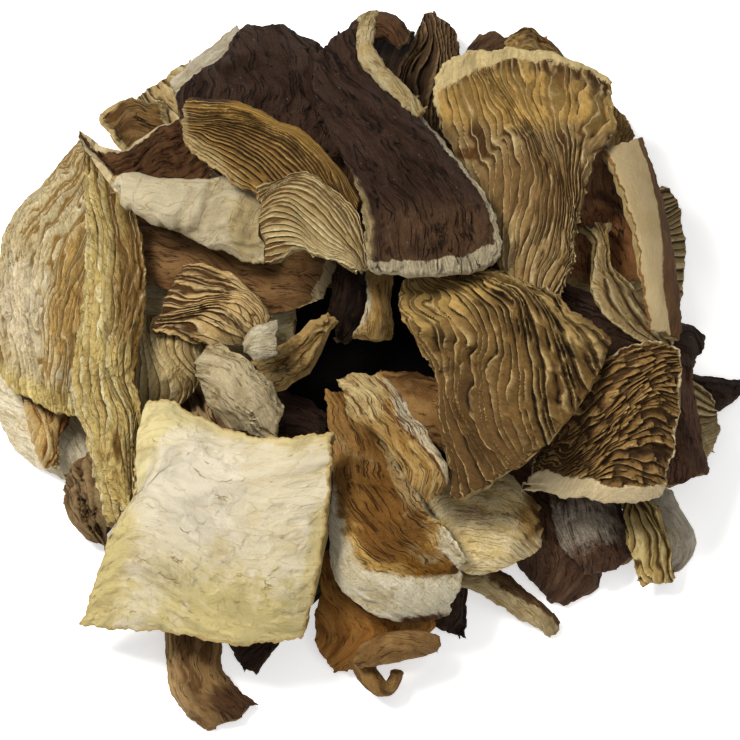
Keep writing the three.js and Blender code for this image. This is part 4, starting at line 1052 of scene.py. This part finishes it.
driedCut("brown_mid", {
    "margins": ((0, 0), (-2, 1), (-1, -1), (2, 3)), "bulges": ((2, -0.3, 0.4, 3, 1),),
}, {"Fibre Height": 0.4, "Fibre Width": 1.0, "Fibre Length": 24}, gillBrown | {
    "paintedHollowShade": (44, 28, 17), "face": (90, 62, 36), "high": (128, 96, 60), "rim": (176, 158, 120),
    "rimWidth": 0.3, "vein": (34, 21, 13), "veinAmount": 0.9, "veinWidth": 0.6, "veinLong": 14,
    "streakWidth": 0.3, "streakAmount": 0.5, "streak": (132, 98, 58),
})
driedCut("cap_bit_mid", {}, {}, skinDark)
driedCut("cap_center", {}, {}, skinDark | {"face": (36, 25, 19)})
driedCut("gill_center_strip", {}, {"Fibre Height": 0.6}, fleshGold | {
    "spots": ((1, 0.6, 0.2, 0.5, (196, 184, 156)),),
})
driedCut("gill_inner_right", {}, {"Fibre Height": 0.4}, gillBrown | {
    "face": (112, 78, 42), "high": (156, 120, 72), "vein": (50, 30, 16), "veinAmount": 0.8,
})
driedCut("knob_low_right", {}, {"Crease Height": 0.5}, fleshCream | {
    "paintedHollowShade": (170, 134, 74), "face": (240, 212, 150), "high": (250, 230, 184), "stain": (150, 100, 54),
    "stainAmount": 0.2, "crack": (84, 54, 28), "crackAmount": 0.3, "spots": (
        (0.3, 0.95, 0.4, 0.22, (176, 138, 80)), (0.45, 1.0, 0.14, 0.12, (76, 48, 28)),
        (0.2, 0.95, 0.08, 0.1, (84, 54, 32)),
    ), "spotUneven": 1.6,
})
driedCut("brown_front", {}, {
    "Fibre Height": 0.5, "Fibre Width": 1.1, "Fibre Length": 24,
}, gillBrown | {
    "paintedHollowShade": (80, 46, 20), "face": (142, 92, 38), "high": (166, 118, 58), "vein": (80, 48, 22),
    "veinAmount": 0.8, "veinWidth": 0.8,
})
driedCut("hook_front", {}, {"Fibre Height": 0.3}, gillBrown | {
    "veinAmount": 0.8, "vein": (50, 30, 16),
})
driedCut("roll_front", {}, {"Fibre Height": 0.3}, gillBrown | {
    "face": (116, 86, 48), "high": (150, 118, 74), "veinAmount": 0.8, "vein": (60, 38, 20),
})

# the left side
gilledCut("fan_left", {"gills": 26}, {
    "Height": 1.1, "Melt": 0.5, "Lean": 0.5, "Wander": 0.75, "Uneven": 0.8, "Fray": 0.4, "Pairs": 0.3,
    "Scales": 0.5, "Sag": 0.9,
}, fleshCream | {
    "paintedHollowShade": (146, 112, 54), "face": (208, 190, 146), "high": (232, 222, 190), "creviceDark": 0.75,
    "crackAmount": 0.1, "creviceWidth": 0.1, "stain": (194, 168, 104), "streakAmount": 0.1,
    "veinAmount": 0.3, "flakeAmount": 0.8, "spots": (
        (0.62, 0.72, 0.35, 0.16, (222, 206, 172)), (0.5, 1, 1, 0.08, (212, 188, 116)),
        (0.15, 0.6, 0.15, 0.3, (190, 154, 90)),
    ),
})
gilledCut("strip_left", {"gills": 10, "perGill": 10}, {
    "Height": 1.8, "Short Gills": 0.2, "Wander": 0.4, "Uneven": 0.9, "Pairs": 0.5, "Scales": 0.2,
}, fleshGold | {
    "paintedHollowShade": (112, 78, 34), "face": (222, 196, 124), "high": (252, 242, 194), "veinAmount": 0.3,
    "streakWidth": 0.4, "stain": (160, 122, 62), "streakAmount": 0.3,
    "spots": ((0, 0.35, 0.4, 0.2, (160, 124, 70)),), "bump": 1.8,
})
driedCut("brown_left", {"margins": ((0, 0), (3, -3), (0, 0), (0, 0))}, {
    "Crease Height": 0.8,
}, skinBrown | {"face": (84, 54, 32), "high": (118, 82, 50), "rim": (196, 178, 138), "rimWidth": 0.2})
driedCut("lip_left", {"round": (2, 3, 0, 1)}, {
    "Fibre Height": 0.05, "Crease Turn": 1, "Crease Height": 1.2, "Crease Width": 5, "Crease Length": 12,
    "Swell Height": 1.4,
}, fleshWhite | {
    "paintedHollowShade": (140, 122, 90), "face": (176, 162, 130), "high": (198, 186, 156), "rimWidth": 0.5,
    "rim": (166, 144, 96), "veinWidth": 2.5, "veinTurn": 1, "crackAmount": 0.1, "bump": 1.0, "mottle": 0.15,
    "grain": 0.5, "spots": (
        (0.5, 0.9, 0.45, 0.14, (164, 146, 106)), (0.5, 0.02, 0.6, 0.08, (206, 196, 168)),
    ),
})
driedCut("cap_back", {}, {"Crease Height": 0.8, "Crease Width": 2.4, "Bend": 5}, skinDark)
driedCut("roll_top", {}, {}, skinBrown)
gilledCut("gill_brown_mid", {
    "gills": 24, "perGill": 8, "margins": ((1, 5), (0, 0), (0, 0), (0, 0)),
}, evenGills | {"Height": 1.3, "Melt": 0.1}, gillBrown | {
    "paintedHollowShade": (36, 21, 11), "face": (122, 90, 44), "high": (184, 154, 94), "creviceWidth": 0.22,
    "crestLight": 0.8, "stain": (96, 64, 28), "spots": (
        (0.0, 0.45, 0.34, 0.5, (134, 102, 46)), (1.0, 0.12, 0.2, 0.3, (176, 152, 104)),
        (0.6, 0.0, 0.5, 0.05, (176, 154, 108)), (0.0, 0.14, 0.11, 0.15, (50, 34, 26)),
    ),
})
gilledCut("gill_pale_mid", {"gills": 20, "perGill": 7}, evenGills | {
    "Height": 0.9,
}, gillPale | {"paintedHollowShade": (92, 66, 34), "creviceWidth": 0.18, "crestLight": 0.8})
driedCut("gill_curl_mid", {}, {"Fibre Height": 0.7, "Crease Height": 0.8}, fleshGold | {
    "face": (120, 96, 56), "high": (178, 154, 104), "rimWidth": 0.6,
})
gilledCut("gill_small_mid", {"gills": 17, "margins": ((0, 0), (0, 0), (0, 0), (11, 8))}, {
    "Height": 1.1, "Wander": 0.4, "Pairs": 0.2, "Sag": 1.2,
}, gillTan | {
    "paintedHollowShade": (78, 52, 26), "face": (208, 174, 116), "high": (232, 206, 154), "veinAmount": 0.9,
    "vein": (80, 54, 28), "veinWidth": 1.6, "creviceDark": 0.9, "bump": 1.2,
})
driedCut("chip_white", {}, {}, fleshWhite)
driedCut("oblong_cream", {}, {
    "Fibre Height": 0.4, "Crease Height": 0.9, "Swell Height": 0.9,
}, fleshWhite | {
    "face": (184, 166, 128), "high": (208, 192, 156), "veinAmount": 0.7, "mottle": 0.2, "bump": 1.2,
})

# the right side and the top
gilledCut("gill_right_fan", {"gills": 26, "margins": ((0, 0), (5, 3), (0, 0), (0, 0))}, {
    "Height": 1.7, "Wander": 0.7, "Fray": 0.8, "Pairs": 0.3, "Scales": 0.9, "Uneven": 0.8,
    "Short Gills": 0.3,
}, gillTan | {
    "paintedHollowShade": (54, 36, 19), "face": (136, 104, 60), "high": (188, 157, 102), "rim": (204, 184, 144),
    "rimWidth": 0.35,
})
gilledCut("gill_slab_top", {
    "gills": 25, "margins": ((0, 0), (2, -3), (0.8, 5.5), (0, 0)), "round": (3, 6, 0, 0),
    "curl": (0, 0, 1.2, 0),
}, {
    "Height": 1.3, "Wander": 0.6, "Pairs": 0.3, "Melt": 0.3, "Settle": 0.7, "Sag": 0.9, "Scales": 0.2,
}, gillTan | {
    "paintedHollowShade": (62, 40, 20), "face": (142, 116, 74), "high": (194, 172, 126), "rim": (190, 170, 122),
    "rimWidth": 0.1, "rimRagged": 5, "stain": (112, 80, 42), "stainAmount": 0.15, "crestLight": 0.6,
    "spots": (
        (0.5, 0.16, 0.7, 0.12, (184, 148, 82)), (0.93, 0.36, 0.07, 0.03, (84, 54, 24)),
        (0.5, 0.5, 0.5, 0.16, (124, 96, 58)),
    ),
})
gilledCut("gill_center", {
    "gills": 25, "bow": 0.15, "perGill": 10, "round": (0, 0, 3, 2), "bulges": ((0, 0.05, 0.75, 2.5, 1),),
}, {
    "Height": 1.7, "Wander": 0.5, "Uneven": 0.7, "Pairs": 0.4, "Lean": 1.1, "Short Gills": 0.4, "Fray": 0.2,
    "Settle": 0.3, "Sag": 0.9,
}, gillTan | {
    "paintedHollowShade": (24, 15, 9), "face": (106, 80, 42), "high": (184, 156, 104), "crestLight": 0.95,
    "creviceWidth": 0.24, "creviceDark": 1.0, "bump": 0.3, "spots": (
        (0.45, 0.12, 0.7, 0.32, (172, 140, 80)), (0.06, 0.55, 0.13, 0.4, (164, 136, 84)),
        # the last spot is painted shade for the dark hollows between the blades there
        (0.8, 0.85, 0.4, 0.3, (90, 66, 36)),
    ),
})
driedCut("boat_front", {
    "curl": (1.5, 0.6, 0, 0), "curlWidth": 3, "bulges": ((0, 0.1, 0.8, 3.2, 1),),
}, {"Fibre Height": 0.5, "Fibre Width": 0.9, "Fibre Length": 20}, fleshWhite | {
    "face": (204, 190, 156), "high": (224, 214, 188), "spots": (
        (0.32, 0.6, 0.42, 0.31, (186, 150, 84)), (0.45, 0.05, 0.9, 0.36, (150, 112, 62)),
        (0.4, 0.36, 0.44, 0.2, (130, 92, 44)), (0.26, 0.55, 0.32, 0.26, (120, 82, 36)),
        (0.36, 0.84, 0.28, 0.14, (128, 88, 32)), (0.36, 0.95, 0.14, 0.03, (84, 54, 26)),
        (1.02, 0.91, 0.1, 0.09, (92, 64, 40)), (0.0, 0.42, 0.13, 0.2, (160, 132, 88)),
    ), "vein": (62, 38, 16), "veinAmount": 0.9, "veinWidth": 0.6, "veinLong": 26, "veinThin": 0.04,
    "linesInSpots": True, "spotSoft": 0.35, "streak": (96, 64, 30), "streakAmount": 0.3, "streakWidth": 0.4,
})
driedCut("strip_mid", {}, {
    "Fibre Height": 0.8, "Fibre Width": 0.8, "Fibre Length": 14,
}, fleshGold | {
    "veinAmount": 0.9, "veinThin": 0.035, "veinWidth": 0.8, "veinLong": 26, "vein": (92, 56, 24),
    "streak": (184, 150, 92), "face": (158, 118, 60), "high": (200, 168, 108), "spots": (
        (0.6, 0.1, 0.5, 0.25, (196, 174, 124)), (0.28, 0.6, 0.06, 0.5, (104, 56, 22)),
        (0.0, 0.6, 0.28, 0.6, (208, 196, 168)),
    ), "spotSoft": 0.3,
})
driedCut("slab_front", {"bulges": ((2, 0.0, 0.46, -4.5, 2.5),)}, {
    "Crease Height": 0.3, "Crease Width": 3, "Crease Length": 8, "Fibre Height": 0.15, "Fibre Width": 4,
    "Fibre Length": 9, "Swell Height": 0.5, "Bend": 5,
}, fleshWhite | {
    "paintedHollowShade": (186, 168, 124), "face": (204, 190, 156), "high": (212, 201, 174), "streakAmount": 0,
    "veinAmount": 0.12, "flakeAmount": 1.6, "flakeSize": 3, "flakeDark": 0.16, "grain": 0.2, "veinWidth": 2,
    "spotUneven": 1.6, "crackAmount": 0.35, "crackSize": 3, "crack": (168, 142, 92), "bump": 0.8,
    "rim": (184, 160, 104), "rimWidth": 0.8, "mottle": 0.05, "spots": (
        (0.82, 0.08, 0.45, 0.2, (182, 166, 114)), (0.95, 0.78, 0.36, 0.42, (180, 165, 114)),
        (0, 0.5, 0.12, 0.8, (184, 168, 124)), (0.6, 0.97, 0.3, 0.04, (184, 168, 122)),
        (0.08, 0.2, 0.3, 0.24, (192, 179, 132)), (0.42, 0.45, 0.3, 0.26, (200, 190, 168)),
    ),
})
driedCut("cap_wedge", {
    "margins": ((0.8, 1.8), (-1, 0.4), (-1, -1), (4.5, 1.4)), "round": (0, 0, 3, 1),
}, {"Crease Height": 0.5, "Crease Width": 1.6, "Crease Length": 14}, skinDark | {
    "rimWidth": 0.1, "rim": (214, 198, 162), "spots": (
        (0.4, 0.9, 0.6, 0.18, (94, 68, 47)), (1, 0.8, 0.08, 0.2, (180, 158, 112)),
    ), "spotSoft": 0.6,
})
driedCut("rim_roll", {}, {"Fibre Height": 0.3, "Crease Height": 0.5}, fleshCream | {
    "face": (170, 150, 106), "high": (192, 176, 138), "veinAmount": 0.7,
})

total = sum(len(face.vertices) - 2 for cut in dressed.values() for face in cut.data.polygons)
print(f"dressed {len(dressed)} cuts with {total} triangles")

# The camera looks at the middle of the leaning plane that the cuts were laid out on, square to it.
# Its middle, how high it is raised and how wide a part of it is in view are in millimetres.
view = {
    "lean": math.radians(20), "middle": (-0.2, -0.6), "raised": 20, "wide": 148, "lens": 600, "sensor": 36,
    "sight": 20,  # metres
}
leanSine, leanCosine = math.sin(view["lean"]), math.cos(view["lean"])
middleX, middleY = view["middle"]
aim = Vector((-middleX, -view["raised"] * leanSine - middleY, view["raised"] * leanCosine)) * mm
away = view["wide"] * mm * view["lens"] / view["sensor"]

lens = bpy.data.cameras.new("camera")
lens.lens = view["lens"]
lens.sensor_width = view["sensor"]
lens.clip_end = view["sight"]
camera = bpy.data.objects.new("camera", lens)
camera.location = aim + Vector((0, -leanSine, leanCosine)) * away
camera.rotation_euler = (view["lean"], 0, 0)
bpy.context.collection.objects.link(camera)
bpy.context.scene.camera = camera

# the white table that the heap lies on
floorLook = {"half": 3, "paint": (0.93, 0.93, 0.93, 1), "rough": 0.9, "glow": 0.55}
floorMaterial = bpy.data.materials.new("pale_table")
floorMaterial.use_nodes = True
floorShader = floorMaterial.node_tree.nodes["Principled BSDF"].inputs
floorShader["Base Color"].default_value = floorLook["paint"]
floorShader["Roughness"].default_value = floorLook["rough"]
floorShader["Emission Color"].default_value = (1, 1, 1, 1)
floorShader["Emission Strength"].default_value = floorLook["glow"]
half = floorLook["half"]
corners = [(-half, -half, 0), (half, -half, 0), (half, half, 0), (-half, half, 0)]
floorMesh = bpy.data.meshes.new("table")
floorMesh.from_pydata(corners, [], [(0, 1, 2, 3)])
floorMesh.materials.append(floorMaterial)
floor = bpy.data.objects.new("table", floorMesh)
bpy.context.collection.objects.link(floor)

lights = {
    "key": {"at": (-0.38, 0.14, 0.8), "size": 0.28, "power": 9.0, "colour": (1, 0.975, 0.925)},
    "fill": {"at": (0.45, -0.55, 0.7), "size": 0.8, "power": 1.2, "colour": (0.95, 0.98, 1)},
    "top": {"at": (0.05, -0.1, 1.0), "size": 0.9, "power": 2.4, "colour": (1, 1, 1)},
}
skyStrength = 0.11
for name, light in lights.items():
    lamp = bpy.data.lights.new(name, "AREA")
    lamp.energy = light["power"]
    lamp.size = light["size"]
    lamp.color = light["colour"]
    placed = bpy.data.objects.new(name, lamp)
    placed.location = light["at"]
    placed.rotation_euler = (aim - Vector(light["at"])).to_track_quat("-Z", "Y").to_euler()
    bpy.context.collection.objects.link(placed)

world = bpy.data.worlds.new("studio")
world.use_nodes = True
sky = world.node_tree.nodes["Background"].inputs
sky["Color"].default_value = (1, 1, 1, 1)
sky["Strength"].default_value = skyStrength
bpy.context.scene.world = world
bpy.context.scene.view_settings.view_transform = "Standard"

print("stage set")
